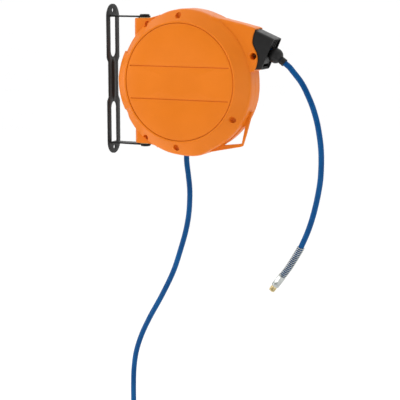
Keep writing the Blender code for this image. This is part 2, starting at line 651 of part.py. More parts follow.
# ---- shaft and inlet ----------------------------------------------------------------------
def make_shaft(axis):
    y_axis = along((DRUM_X, 0, 0), (0, 1, 0))
    radius = SHAFT_RADIUS
    profile = [(0, -0.045), (0.010, -0.045), (0.010, -0.038), (radius, -0.038), (radius, 0.0375),
               (0.020, 0.0375), (0.020, 0.0397), (radius, 0.0397), (radius, 0.0575), (0.009, 0.0575),
               (0.009, 0.0640), (SHAFT_BORE, 0.0640), (SHAFT_BORE, 0.0100), (0, 0.0100)]
    shaft = piece("centre_shaft", turned(profile, y_axis, FINE), "steel", axis)
    cut(shaft, rod((DRUM_X, 0.0140, 0), (1, 0, 0), 0.0025, 0.020, 12))
    hexagon = pipe((DRUM_X, FACE_Y + GAP, 0), (0, 1, 0), radius + GAP, 0.023, 0.007, 6)
    nut = piece("shaft_nut", hexagon, "steel", axis)
    cut(nut, rod((DRUM_X, 0.045, 0), (0, 1, 0), radius + GAP, 0.020))
    arbor = pipe((DRUM_X, -0.0170, 0), (0, 1, 0), radius + GAP, 0.020, 0.022)
    piece("spring_arbor", arbor, "steel", axis)
    circlip = pipe((DRUM_X, -0.0365, 0), (0, 1, 0), radius + GAP, 0.0180, 0.0015)
    piece("shaft_circlip", circlip, "steel", axis)
    elbow_profile = [(0, 0.0578), (0.013, 0.0578), (0.013, 0.0770), (0.010, 0.0800), (0, 0.0800)]
    elbow = piece("inlet_elbow", turned(elbow_profile, y_axis, FINE), "brass", axis)
    join(elbow, rod((DRUM_X, INLET_Y, 0), (0, 0, -1), 0.0095, 0.024))
    cut(elbow, rod((DRUM_X, 0.0570, 0), (0, 1, 0), 0.0093, 0.0073))
    cut(elbow, rod((DRUM_X, 0.0600, 0), (0, 1, 0), 0.0040, INLET_Y - 0.0600, 16))
    cut(elbow, rod((DRUM_X, INLET_Y, 0.001), (0, 0, -1), 0.0040, 0.030, 16))


# ---- drum ---------------------------------------------------------------------------------
def spiral_outline(inner, outer, turns, thick, steps):
    """A flat coil of strip as a closed (x, z) outline."""
    def at(k, offset):
        share = k / steps
        angle = 2 * math.pi * turns * share
        radius = inner + (outer - inner) * share + offset
        return radius * math.cos(angle), radius * math.sin(angle)
    outside = [at(k, thick) for k in range(steps + 1)]
    inside = [at(k, 0) for k in range(steps, -1, -1)]
    return outside + inside


def ratchet_outline():
    """Teeth with a long back and a steep face, which stops the drum from winding in."""
    points = []
    pitch = 2 * math.pi / RATCHET_TEETH
    tooth_shape = ((0.0, RATCHET_ROOT), (0.45, RATCHET_OUTER), (0.62, RATCHET_OUTER), (0.70, RATCHET_ROOT))
    for tooth in range(RATCHET_TEETH):
        start = tooth * pitch + RATCHET_PHASE
        for share, radius in tooth_shape:
            angle = start + pitch * share
            points.append((radius * math.cos(angle), radius * math.sin(angle)))
    return points


def make_drum(axis):
    y_axis = along((DRUM_X, 0, 0), (0, 1, 0))
    wall = HUB_RADIUS - HUB_WALL
    boss, bore = 0.027, BUSH_OUTER + GAP
    hub = [(wall, COIL_FRONT), (HUB_RADIUS, COIL_FRONT), (HUB_RADIUS, COIL_REAR), (wall, COIL_REAR),
           (wall, 0.0100), (boss, 0.0100), (boss, COIL_REAR), (bore, COIL_REAR), (bore, 0.0070),
           (wall, 0.0070)]
    hub_piece = piece("drum_hub", turned(hub, y_axis), "drum_grey", axis)
    cut(hub_piece, rod((DRUM_X + 0.015, TAIL_Y, 0), (1, 0, 0), 0.0053, 0.020, 16))
    last = from_axis(*TAIL_ROUTE[-1], TAIL_Y)
    outward = (last - Vector((DRUM_X, TAIL_Y, 0))).normalized()
    cut(hub_piece, rod(last - outward * 0.008, outward, HOSE_RADIUS + 0.0006, 0.016, 20))
    for name, low, bore_radius in (("front", COIL_FRONT - GAP - FLANGE_THICK, 0.076),
                                   ("rear", COIL_REAR + GAP, 0.040)):
        flange = pipe((DRUM_X, low, 0), (0, 1, 0), bore_radius, FLANGE_RADIUS, FLANGE_THICK, SEGMENTS)
        piece(f"drum_{name}_flange", flange, "drum_grey", axis)
    bulge = 0.0015
    coil = [(COIL_INNER, COIL_FRONT + GAP), (COIL_OUTER - bulge, COIL_FRONT + GAP),
            (COIL_OUTER, COIL_FRONT + GAP + bulge), (COIL_OUTER, COIL_REAR - GAP - bulge),
            (COIL_OUTER - bulge, COIL_REAR - GAP), (COIL_INNER, COIL_REAR - GAP)]
    piece("wound_hose", turned(coil, y_axis), "hose_blue", axis)
    cover = [(bore, -0.0300), (0.0240, -0.0300), (0.0240, -0.0207), (wall - GAP, -0.0207),
             (wall - GAP, -0.0187), (bore, -0.0187)]
    piece("spring_cover", turned(cover, y_axis), "drum_grey", axis)
    for name, low, high in (("front", -0.0298, -0.0190), ("rear", 0.0203, COIL_REAR)):
        bush = pipe((DRUM_X, low, 0), (0, 1, 0), SHAFT_RADIUS + GAP, BUSH_OUTER, high - low)
        piece(f"drum_{name}_bush", bush, "nylon_white", axis)
    make_swivel(axis)
    spiral = from_drum(spiral_outline(0.0225, 0.0845, 6, 0.0008, 84))
    piece("mainspring", prism(spiral, "Y", -0.0180, 0.0065), "steel", axis)
    ratchet_low = COIL_REAR + 2 * GAP + FLANGE_THICK
    teeth = prism(from_drum(ratchet_outline()), "Y", ratchet_low, ratchet_low + 0.005)
    ratchet = piece("ratchet_ring", teeth, "nylon_white", axis)
    cut(ratchet, rod((DRUM_X, 0.020, 0), (0, 1, 0), 0.050, 0.030, SEGMENTS))
    hose("hose_tail", [from_axis(x, z, TAIL_Y) for x, z in TAIL_ROUTE], axis, 0.012)


def make_swivel(axis):
    """The rotating air joint: body, two seal rings and the outlet to the hose."""
    inner, outer = SHAFT_RADIUS + 0.0006, BUSH_OUTER
    body = pipe((DRUM_X, 0.0094, 0), (0, 1, 0), inner, outer, 0.0092)
    swivel = piece("swivel_body", body, "brass", axis)
    cut(swivel, rod((DRUM_X + 0.010, 0.0140, 0), (1, 0, 0), 0.0020, 0.020, 12))
    for name, low in (("front", 0.0073), ("rear", 0.0189)):
        ring = pipe((DRUM_X, low, 0), (0, 1, 0), SHAFT_RADIUS + GAP, outer - GAP, 0.0011)
        piece(f"swivel_seal_{name}", ring, "rubber", axis)
    fitting = [(0.0025, 0.0195), (0.0050, 0.0195), (0.0050, 0.0382), (0.0025, 0.0382)]
    piece("tail_fitting", turned(fitting, along((DRUM_X, TAIL_Y, 0), (1, 0, 0)), 16), "brass", axis)


# ---- ratchet pawl -------------------------------------------------------------------------
def make_pawl(casing, axis):
    pivot = (PAWL_PIVOT.x, PAWL_PIVOT.z)
    nose = [(-0.0262, 0.0240), (-0.0215, 0.0222)]
    outline = [(pivot[0] + x, pivot[1] + z) for x, z in (
        (0.0050, 0.0032), *reversed(nose), (-0.0285, 0.0190), (-0.0050, -0.0040), (0.0, -0.0062),
        (0.0120, -0.0052), (0.0120, -0.0010))]
    pawl = piece("pawl", prism(outline, "Y", 0.0320, 0.0362), "steel", axis)
    cut(pawl, rod((pivot[0], 0.030, pivot[1]), (0, 1, 0), 0.003 + GAP, 0.010, 20))
    pin = rod((pivot[0], 0.0316, pivot[1]), (0, 1, 0), 0.003, 0.0124, 20)
    piece("pawl_pin", pin, "steel", casing)
    leaf = [(pivot[0] + x, pivot[1] + z) for x, z in (
        (0.0115, -0.0062), (0.0122, -0.0064), (0.0160, -0.0200), (0.0300, -0.0230), (0.0300, -0.0236),
        (0.0155, -0.0206))]
    piece("pawl_spring", prism(leaf, "Y", 0.0325, 0.0357), "steel", casing)


def main():
    clear_scene()
    root = empty("wall", (0, 0, 0))
    casing = empty("case_swivel_axis", (PIVOT_X, 0, 0), root)
    drum = empty("drum_axis", (DRUM_X, 0, 0), casing)
    pawl = empty("pawl_axis", PAWL_PIVOT, casing)
    upper = empty("roller_upper_axis", roller_centre(1), casing)
    lower = empty("roller_lower_axis", roller_centre(-1), casing)
    make_bracket(root)
    make_casing(casing)
    make_guide(casing)
    make_rollers(casing, upper, lower)
    make_ball(casing)
    make_hoses(casing)
    make_shaft(casing)
    make_drum(drum)
    make_pawl(casing, pawl)


main()
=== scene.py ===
"""Looks for the wall-mounted air hose reel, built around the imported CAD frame."""

import json
import math

import bmesh
import bpy
import numpy as np
from mathutils import Matrix, Vector


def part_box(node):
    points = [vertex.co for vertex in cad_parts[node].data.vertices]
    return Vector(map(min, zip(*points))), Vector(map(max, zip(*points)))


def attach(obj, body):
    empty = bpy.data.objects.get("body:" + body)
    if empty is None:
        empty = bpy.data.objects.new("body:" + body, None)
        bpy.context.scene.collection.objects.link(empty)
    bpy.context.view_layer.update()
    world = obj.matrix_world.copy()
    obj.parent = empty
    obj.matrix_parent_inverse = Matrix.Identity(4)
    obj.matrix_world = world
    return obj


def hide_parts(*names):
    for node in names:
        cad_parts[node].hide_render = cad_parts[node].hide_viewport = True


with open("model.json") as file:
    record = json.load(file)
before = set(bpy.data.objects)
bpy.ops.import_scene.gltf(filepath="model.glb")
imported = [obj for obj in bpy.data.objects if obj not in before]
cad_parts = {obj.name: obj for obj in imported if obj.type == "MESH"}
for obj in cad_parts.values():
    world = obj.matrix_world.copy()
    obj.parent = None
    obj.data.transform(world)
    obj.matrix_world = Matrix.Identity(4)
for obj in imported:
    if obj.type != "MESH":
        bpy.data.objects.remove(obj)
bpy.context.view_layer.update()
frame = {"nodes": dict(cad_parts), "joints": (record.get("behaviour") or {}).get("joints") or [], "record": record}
JOINTS = {joint["name"]: joint for joint in frame["joints"]}

# ---- driving dimensions, in metres; the first four are read from the frame ----
PIVOT_X = JOINTS["case_swivel"]["pos_m"][0]
DRUM_X = JOINTS["drum_spin"]["pos_m"][0]
FACE_Y = -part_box("front_shell")[0].y
COVER_RADIUS = (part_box("front_cover")[1].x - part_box("front_cover")[0].x) / 2
GAP = 0.0003  # between pieces that would touch
RIM_RADIUS = 0.1262  # where the flat rim round the cover meets the shoulder
ROLL = 0.011  # radius of the roll between the shoulder and the wall
CONE_TILT = math.radians(40.8)  # how steeply the shoulder falls between the rim and the roll
WALL_TOP = 0.0215  # height of the roll's foot above the parting line
WALL = 0.003
CAVITY_RADIUS = 0.1418
FACE_INSIDE = 0.0427  # depth of the front half's cavity, which stops at the cover's seat
COVER_OPENING = 0.113
COLUMNS = 900  # points round each ring of the casing
EDGE_STATIONS = (  # the round edge, as degrees from +X and radius: a flange at the left, a bulge below
    (0, 0.1524), (60, 0.1515), (90, 0.1515), (97, 0.1501), (104, 0.1492), (112, 0.1473),
    (118, 0.1460), (130, 0.1462), (141, 0.1456), (151, 0.1450), (155.4, 0.1450), (155.9, 0.1492),
    (168, 0.1508), (178, 0.1526), (198, 0.1526), (205, 0.1518), (205.6, 0.1496), (208.5, 0.1496),
    (213, 0.1522), (221, 0.1532), (247, 0.1540), (257, 0.1552), (266, 0.1556), (273, 0.1568),
    (280, 0.1583), (285, 0.1583), (289, 0.1560), (293, 0.1540), (300, 0.1538), (330, 0.1546),
    (346, 0.1542), (360, 0.1524),
)
NECK_HALF = 0.026
BOSS_RADIUS = 0.0075
RECESS_RADIUS = 0.0060
LUG_RADIUS = 0.020
LUG_BORE = 0.0083
LUG_FACE = {1: 0.1300, -1: 0.1360}  # how far the upper and the lower lug's outer ends are from the axis
LUG_LOW = {1: 0.089, -1: 0.104}  # and their inner ends
SCREWS = {  # x and z from the drum's axis, then the depth of the head's seat and of the recess's floor
    "case_screw_top": (-0.0054, 0.1379, -0.008, -0.0310),
    "case_screw_bottom": (-0.0101, -0.1386, -0.008, -0.0305),
    "case_screw_right": (0.1177, -0.0739, -0.008, -0.0305),
    "case_screw_nozzle": (0.1570, 0.0567, -0.006, -0.0060),
    "case_screw_upper_lug": (-0.0865, 0.1180, -0.004, -0.0130),
    "case_screw_lower_lug": (-0.0865, -0.1220, -0.004, -0.0130),
}
# Outlines of the neck, the handle's elbow and the neck's cavity: (x, z) from the drum's axis.
NECK_TOP = ((0.060, 0.125), (0.0655, 0.1373), (0.079, 0.1328), (0.106, 0.1273), (0.133, 0.1213),
            (0.155, 0.1155))
NECK_END = ((0.157, 0.1148), (0.1605, 0.1115), (0.1560, 0.098), (0.1545, 0.084), (0.1585, 0.0735),
            (0.1635, 0.064), (0.1660, 0.053), (0.1650, 0.042), (0.1615, 0.031), (0.1575, 0.0265))
REAR_NECK_SHIFT = np.array([0.003, 0.0010])  # the rear half of the neck is shorter and lower
NECK_FOOT = ((0.148, 0.0255), (0.120, 0.030), (0.060, 0.060))
HANDLE_HALF = 0.0035
HANDLE_ELBOW = ((0.1266, -0.1290), (0.1258, -0.1311), (0.1243, -0.1326), (0.1221, -0.1336))
NECK_CAVITY = ((0.060, 0.060), (0.060, 0.1275), (0.0665, 0.1335), (0.079, 0.1297), (0.106, 0.1242),
               (0.133, 0.1182), (0.157, 0.1116), (0.185, 0.1040), (0.185, 0.0290), (0.120, 0.0290))
GUIDE_STATIONS = (  # the nozzle's top and bottom (x, z) at its tail, in the neck and at its mouth
    ((0.1380, 0.1160), (0.1460, 0.0295)), ((0.1565, 0.1107), (0.1520, 0.0295)),
    ((0.2005, 0.0922), (0.1735, 0.0295)),
)
GUIDE_CORNER = 0.0055
GUIDE_HALF = 0.023
GUIDE_WALL = 0.0025
BALL_CENTRE = Vector((DRUM_X + 0.1963, 0, 0.0576))
BALL_RADIUS = 0.0157
EXIT_DROP = math.radians(36)
EXIT = Vector((math.cos(EXIT_DROP), 0, -math.sin(EXIT_DROP)))
ABOVE_EXIT = Vector((math.sin(EXIT_DROP), 0, math.cos(EXIT_DROP)))
COLLAR_START = 0.0148
COLLAR_END = 0.025
HOSE_RADIUS = 0.006
INLET_Y = 0.070
GUARD_LENGTH = 0.076
WIRE_RADIUS = 0.0010
FERRULE_LENGTH = 0.0285
NIPPLE_LENGTH = 0.013
FITTING_BORE = 0.0035
SHAFT_HOLE = 0.0143
PLATE_THICK = 0.003
PLATE_HALF_WIDTH = 0.027
PLATE_HALF_HEIGHT = 0.161
PLATE_MIDDLE = -0.002
ARM_HEIGHT = {1: 0.1330, -1: 0.1390}  # how far the upper and the lower arm are from the drum's axis
ARM_HALF_WIDTH = 0.0125
SLOT_HALF_WIDTH = 0.013
SLOT_ROUND_END = 0.061  # from the plate's middle to the centre of each slot's round end
END_HOLE_HEIGHT = 0.1475
END_HOLE_RADIUS = 0.0045

# Routes of the two free hoses, the same points as in the CAD (x, z), in planes of constant y.
OUTLET_ROUTE = (
    (0.4065, 0.0352), (0.4155, 0.0250), (0.4290, 0.0095), (0.4395, -0.0062), (0.4475, -0.0220),
    (0.4550, -0.0380), (0.4610, -0.0540), (0.4660, -0.0700), (0.4700, -0.0865),
    (0.4743, -0.1100), (0.4768, -0.1310), (0.4778, -0.1530), (0.4775, -0.1760),
    (0.4757, -0.2000), (0.4700, -0.2340), (0.4620, -0.2680), (0.4512, -0.3020),
    (0.4366, -0.3360), (0.4278, -0.3525), (0.4180, -0.3692), (0.4080, -0.3850),
    (0.3969, -0.4003),
)
INLET_ROUTE = (
    (0.1800, -0.0243), (0.1800, -0.0400), (0.1785, -0.0600), (0.1722, -0.0850),
    (0.1610, -0.1120), (0.1500, -0.1390), (0.1440, -0.1640), (0.1440, -0.1860),
    (0.1475, -0.2120), (0.1505, -0.2390), (0.1510, -0.2640), (0.1485, -0.3000),
    (0.1415, -0.3370), (0.1295, -0.3780), (0.1100, -0.4340), (0.0805, -0.4930),
    (0.0510, -0.5450), (0.0300, -0.5880), (0.0160, -0.6290), (0.0095, -0.6700),
    (0.0078, -0.7100), (0.0078, -0.7500), (0.0085, -0.7900), (0.0095, -0.8300),
    (0.0100, -0.8700), (0.0100, -0.9260),
)


# ---- camera ----
def make_camera():
    """The camera that the photo was taken with, as fitted to its outlines."""
    data = bpy.data.cameras.new("camera")
    data.sensor_width = 36
    data.lens = 117
    data.clip_end = 100
    camera = new_object("camera", data)
    camera.location = (1.3268, -2.4915, 0.2235)
    camera.rotation_euler = (math.radians(80.1), 0, math.radians(24.2))
    bpy.context.scene.camera = camera


# ---- materials ----
PAINTS = {}  # the material of each of the record's slots, made in main


class Surface:
    """A Principled material, with short calls for the nodes that vary it."""

    def __init__(self, name, roughness, metallic=0.0, **sockets):
        self.made = bpy.data.materials.new(name)
        self.made.use_nodes = True
        self.tree = self.made.node_tree
        self.shader = self.tree.nodes["Principled BSDF"]
        self.shader.inputs["Roughness"].default_value = roughness
        self.shader.inputs["Metallic"].default_value = metallic
        for socket, value in sockets.items():
            self.shader.inputs[socket.replace("_", " ")].default_value = value
        self.coordinates = self.tree.nodes.new("ShaderNodeTexCoord").outputs["Object"]

    def link(self, source, target):
        self.tree.links.new(source, target)

    def noise(self, size, detail=2.0, stretch=(1, 1, 1)):
        """Noise whose lumps are about size metres across."""
        scaled = self.tree.nodes.new("ShaderNodeMapping")
        scaled.inputs["Scale"].default_value = stretch
        self.link(self.coordinates, scaled.inputs["Vector"])
        texture = self.tree.nodes.new("ShaderNodeTexNoise")
        texture.inputs["Scale"].default_value = 1 / size
        texture.inputs["Detail"].default_value = detail
        self.link(scaled.outputs["Vector"], texture.inputs["Vector"])
        return texture.outputs["Fac"]

    def between(self, factor, low, high):
        """A number or a colour that goes from low to high as the factor goes from 0.3 to 0.7."""
        if isinstance(low, tuple):
            ramp = self.tree.nodes.new("ShaderNodeValToRGB")
            ramp.color_ramp.elements[0].position = 0.3
            ramp.color_ramp.elements[0].color = (*low, 1)
            ramp.color_ramp.elements[1].position = 0.7
            ramp.color_ramp.elements[1].color = (*high, 1)
            self.link(factor, ramp.inputs["Fac"])
            return ramp.outputs["Color"]
        spread = self.tree.nodes.new("ShaderNodeMapRange")
        for socket, value in (("From Min", 0.3), ("From Max", 0.7), ("To Min", low), ("To Max", high)):
            spread.inputs[socket].default_value = value
        self.link(factor, spread.inputs["Value"])
        return spread.outputs["Result"]

    def colour(self, factor, low, high):
        self.link(self.between(factor, low, high), self.shader.inputs["Base Color"])
        return self

    def rough(self, factor, low, high):
        self.link(self.between(factor, low, high), self.shader.inputs["Roughness"])
        return self

    def bump(self, *layers):
        """Bumps laid over each other, each a factor and its height in metres."""
        normal = None
        for factor, height in layers:
            node = self.tree.nodes.new("ShaderNodeBump")
            node.inputs["Strength"].default_value = 1.0
            node.inputs["Distance"].default_value = height
            self.link(factor, node.inputs["Height"])
            if normal:
                self.link(normal, node.inputs["Normal"])
            normal = node.outputs["Normal"]
        self.link(normal, self.shader.inputs["Normal"])
        return self


def orange_plastic():
    s = Surface("case_orange", 0.38, Specular_IOR_Level=0.16)
    s.colour(s.noise(0.09, 3), (0.740, 0.180, 0.007), (0.790, 0.198, 0.010))
    s.rough(s.noise(0.03, 3), 0.33, 0.41)
    return s.bump((s.noise(0.0006, 1), 0.000022), (s.noise(0.025, 2), 0.00012)).made


def guide_plastic():
    s = Surface("guide_black", 0.40, Specular_IOR_Level=0.28)
    s.colour(s.noise(0.02, 3), (0.006, 0.006, 0.006), (0.010, 0.010, 0.010))
    s.rough(s.noise(0.008, 3), 0.38, 0.50)
    return s.bump((s.noise(0.0005, 1), 0.00003)).made


def powder_coat():
    s = Surface("bracket_black", 0.42, Specular_IOR_Level=0.26)
    s.colour(s.noise(0.03, 3), (0.005, 0.005, 0.005), (0.009, 0.009, 0.009))
    s.rough(s.noise(0.006, 4), 0.36, 0.50)
    return s.bump((s.noise(0.0009, 2), 0.00005)).made


def rubber():
    s = Surface("rubber_black", 0.42, Specular_IOR_Level=0.26)
    s.colour(s.noise(0.006, 4), (0.009, 0.009, 0.009), (0.014, 0.014, 0.014))
    s.rough(s.noise(0.004, 3), 0.40, 0.58)
    return s.bump((s.noise(0.0006, 2), 0.00003)).made


def blue_hose():
    s = Surface("hose_blue", 0.10, Specular_IOR_Level=0.10)
    s.colour(s.noise(0.012, 2, (1, 1, 0.25)), (0.002, 0.060, 0.205), (0.004, 0.088, 0.265))
    s.rough(s.noise(0.010, 3), 0.08, 0.14)
    return s.bump((s.noise(0.004, 2), 0.00006)).made


def plated_steel():
    s = Surface("steel_plated", 0.22, 1.0)
    s.colour(s.noise(0.004, 3), (0.38, 0.40, 0.39), (0.50, 0.52, 0.50))
    s.rough(s.noise(0.003, 3), 0.16, 0.30)
    return s.bump((s.noise(0.0012, 2), 0.00002)).made


def turned_brass():
    s = Surface("brass_turned", 0.25, 1.0)
    s.colour(s.noise(0.003, 3), (0.56, 0.46, 0.24), (0.70, 0.60, 0.36))
    s.rough(s.noise(0.002, 3), 0.20, 0.34)
    return s.bump((s.noise(0.0006, 2), 0.00002)).made


def grey_plastic():
    s = Surface("drum_grey", 0.55)
    s.colour(s.noise(0.03, 3), (0.10, 0.10, 0.10), (0.13, 0.13, 0.13))
    s.rough(s.noise(0.01, 3), 0.48, 0.62)
    return s.bump((s.noise(0.0007, 1), 0.00004)).made


def black_screw():
    s = Surface("screw_black", 0.40, 0.6)
    s.colour(s.noise(0.003, 3), (0.030, 0.028, 0.027), (0.050, 0.047, 0.045))
    s.rough(s.noise(0.002, 3), 0.32, 0.50)
    return s.bump((s.noise(0.0006, 2), 0.00002)).made


def maroon_plastic():
    s = Surface("roller_maroon", 0.42)
    s.colour(s.noise(0.004, 3), (0.240, 0.036, 0.026), (0.300, 0.050, 0.034))
    s.rough(s.noise(0.003, 3), 0.36, 0.50)
    return s.bump((s.noise(0.0006, 1), 0.00002)).made


def white_nylon():
    s = Surface("nylon_white", 0.4)
    s.colour(s.noise(0.02, 3), (0.68, 0.67, 0.62), (0.76, 0.75, 0.71))
    s.rough(s.noise(0.01, 3), 0.34, 0.48)
    return s.bump((s.noise(0.0008, 1), 0.00003)).made


def make_paints():
    return {"case_orange": orange_plastic(), "bracket_black": powder_coat(), "guide_black": guide_plastic(),
            "rubber": rubber(), "hose_blue": blue_hose(), "steel": plated_steel(), "brass": turned_brass(),
            "drum_grey": grey_plastic(), "nylon_white": white_nylon(), "screw_black": black_screw(),
            "roller_maroon": maroon_plastic()}


# ---- mesh tools ----
def along(point, direction):
    """A matrix whose local Z runs along direction from point."""
    return Matrix.Translation(point) @ Vector(direction).to_track_quat("Z", "Y").to_matrix().to_4x4()


Y_AXIS = along((DRUM_X, 0, 0), (0, 1, 0))


def arc(centre, radius, start, end, steps):
    """Points on an arc, angles in degrees."""
    angles = [math.radians(start + (end - start) * k / steps) for k in range(steps + 1)]
    return [(centre[0] + radius * math.cos(a), centre[1] + radius * math.sin(a)) for a in angles]


def mesh_from(name, points, faces):
    mesh = bpy.data.meshes.new(name)
    mesh.from_pydata([tuple(p) for p in points], [], faces)
    mesh.validate()
    bm = bmesh.new()
    bm.from_mesh(mesh)
    bmesh.ops.recalc_face_normals(bm, faces=bm.faces)
    bm.to_mesh(mesh)
    bm.free()
    return mesh


def loft(name, rings, closed=False):
    """A skin over rings of equal length. Ends are capped unless the rings close on themselves."""
    count = len(rings[0])
    points = [p for ring in rings for p in ring]
    faces = []
    pairs = list(zip(range(len(rings)), range(1, len(rings))))
    if closed:
        pairs.append((len(rings) - 1, 0))
    for a, b in pairs:
        for k in range(count):
            n = (k + 1) % count
            faces.append((a * count + k, a * count + n, b * count + n, b * count + k))
    if not closed:
        faces.append(tuple(range(count)))
        faces.append(tuple((len(rings) - 1) * count + k for k in range(count)))
    return mesh_from(name, points, faces)


def lathe(name, profile, place, segments=64):
    """A (radius, height) outline turned about place's Z: a solid if it starts on the axis, else a ring."""
    angles = [2 * math.pi * k / segments for k in range(segments)]
    rings = []
    for r, height in profile:
        if r > 0:
            rings.append([place @ Vector((r * math.cos(a), r * math.sin(a), height)) for a in angles])
    return loft(name, rings, closed=profile[0][0] > 0)


def prism(name, outline, axis, low, high):
    """A flat outline extruded along X, Y or Z. It is (y, z), (x, z) or (x, y)."""
    place = {
        "X": lambda a, b, h: (h, a, b),
        "Y": lambda a, b, h: (a, h, b),
        "Z": lambda a, b, h: (a, b, h),
    }[axis]
    return loft(name, [[place(a, b, h) for a, b in outline] for h in (low, high)])


def rod(name, point, direction, radius, length, segments=48):
    profile = [(0, 0), (radius, 0), (radius, length), (0, length)]
    return lathe(name, profile, along(point, direction), segments)


def from_drum(outline):
    return [(DRUM_X + x, z) for x, z in outline]


def new_object(name, data):
    obj = bpy.data.objects.new(name, data)
    bpy.context.scene.collection.objects.link(obj)
    return obj


def apply_modifiers(obj):
    bpy.context.view_layer.update()
    evaluated = obj.evaluated_get(bpy.context.evaluated_depsgraph_get())
    mesh = bpy.data.meshes.new_from_object(evaluated)
    old = obj.data
    obj.modifiers.clear()
    obj.data = mesh
    bpy.data.meshes.remove(old)


def combine(obj, operation, *meshes):
    """Joins meshes to a piece, or cuts them from it, at once."""
    for mesh in meshes:
        tool = new_object("tool", mesh)
        modifier = obj.modifiers.new("shape", "BOOLEAN")
        modifier.operation = operation
        modifier.solver = "MANIFOLD"
        modifier.object = tool
        apply_modifiers(obj)
        bpy.data.objects.remove(tool)


def cut(obj, *meshes):
    combine(obj, "DIFFERENCE", *meshes)


def mesh_of(obj):
    """Takes a helper's mesh and removes the helper."""
    mesh = obj.data
    bpy.data.objects.remove(obj)
    return mesh


def soften(obj, width, segments, angle):
    """Rounds a piece's hard edges."""
    bevel = obj.modifiers.new("soft_edges", "BEVEL")
    bevel.width = width
    bevel.segments = segments
    bevel.limit_method = "ANGLE"
    bevel.angle_limit = math.radians(angle)
    apply_modifiers(obj)


def dress(obj, body, slot, *stands_for, sharp=35):
    """Gives a piece its body and the material of its slot, and hides the CAD nodes that it stands for."""
    if obj.type == "MESH":
        obj.data.shade_smooth()
        obj.data.set_sharp_from_angle(angle=math.radians(sharp))
    obj.data.materials.clear()
    obj.data.materials.append(PAINTS[slot])
    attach(obj, body)
    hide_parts(*stands_for)
    return obj


def add_piece(name, mesh, body, slot, *stands_for, sharp=35):
    return dress(new_object(name, mesh), body, slot, *stands_for, sharp=sharp)


# ---- casing ----
def smooth_points(points, steps):
    """A Catmull-Rom curve through points."""
    points = [np.array(p, float) for p in points]
    ends = [2 * points[0] - points[1], *points, 2 * points[-1] - points[-2]]
    curve = []
    for a, b, c, d in zip(ends, ends[1:], ends[2:], ends[3:]):
        for t in np.arange(steps) / steps:
            curve.append(0.5 * (2 * b + (c - a) * t + (2 * a - 5 * b + 4 * c - d) * t * t
                                + (3 * b - a - 3 * c + d) * t ** 3))
    return [*curve, points[-1]]


def neck_outline():
    return np.array([*NECK_TOP, *smooth_points(NECK_END, 8), *NECK_FOOT])


def lug_outline(sign):
    left = PIVOT_X - LUG_RADIUS - DRUM_X
    top = LUG_FACE[sign]
    corner = 0.003
    points = [(-0.02, 0.0), (-0.050, top + 0.009), (-0.060, top + 0.0068), (-0.085, top),
              (left + corner, top), (left, top - corner), (left, LUG_LOW[sign]), (-0.10, 0.0)]
    return np.array([(x, sign * z) for x, z in points])


def reach(outline, angles):
    """How far each ray from the drum's axis runs before it last leaves a closed outline."""
    direction = np.stack([np.cos(angles), np.sin(angles)], 1)
    furthest = np.zeros(len(angles))
    for a, b in zip(outline, np.roll(outline, -1, axis=0)):
        edge = b - a
        cross = direction[:, 0] * edge[1] - direction[:, 1] * edge[0]
        cross = np.where(np.abs(cross) < 1e-12, 1e-12, cross)
        distance = (a[0] * edge[1] - a[1] * edge[0]) / cross
        share = (a[0] * direction[:, 1] - a[1] * direction[:, 0]) / cross
        hit = (distance > 0) & (share >= 0) & (share <= 1)
        furthest = np.where(hit, np.maximum(furthest, distance), furthest)
    return furthest


def blur(values, width):
    """A running average round the outline, over about width columns."""
    reach_columns = int(3 * width)
    offsets = np.arange(-reach_columns, reach_columns + 1)
    weights = np.exp(-0.5 * (offsets / width) ** 2)
    weights /= weights.sum()
    return sum(w * np.roll(values, o, axis=0) for w, o in zip(weights, offsets))


def edge_radius(angles):
    """The casing's round edge without the neck and the lugs."""
    stations, radii = zip(*EDGE_STATIONS)
    return np.interp(np.degrees(angles) % 360, stations, radii)


def smooth_max(a, b, width):
    """The larger of two heights, with a fillet of that width where they cross."""
    share = np.clip(0.5 + 0.5 * (a - b) / width, 0, 1)
    return b * (1 - share) + a * share + width * share * (1 - share)


def inside_distance(outline, x, z):
    """How far each point is inside a closed outline, negative outside it."""
    nearest = np.full(x.shape, 1.0)
    inside = np.zeros(x.shape, bool)
    for a, b in zip(outline, np.roll(outline, -1, axis=0)):
        edge = b - a
        t = np.clip(((x - a[0]) * edge[0] + (z - a[1]) * edge[1]) / (edge @ edge), 0, 1)
        nearest = np.minimum(nearest, np.hypot(x - a[0] - t * edge[0], z - a[1] - t * edge[1]))
        rise = edge[1] if abs(edge[1]) > 1e-12 else 1e-12
        crosses = (a[1] > z) != (b[1] > z)
        inside ^= crosses & (x < a[0] + (z - a[1]) * edge[0] / rise)
    return np.where(inside, nearest, -nearest)


def shoulder(radius, edge):
    """Height of the cone, the roll at its foot and the wall beyond, for a round edge."""
    roll_start = edge - ROLL * (1 - math.sin(CONE_TILT))
    roll_top = WALL_TOP + ROLL * math.cos(CONE_TILT)
    cone = FACE_Y - (FACE_Y - roll_top) * (radius - RIM_RADIUS) / (roll_start - RIM_RADIUS)
    across = np.clip((radius - (edge - ROLL)) / ROLL, 0, 1)
    roll = WALL_TOP + ROLL * np.sqrt(1 - across ** 2)
    height = np.where(radius < roll_start, np.minimum(cone, FACE_Y), roll)
    return np.where(radius > edge, WALL_TOP - 8 * (radius - edge), height)


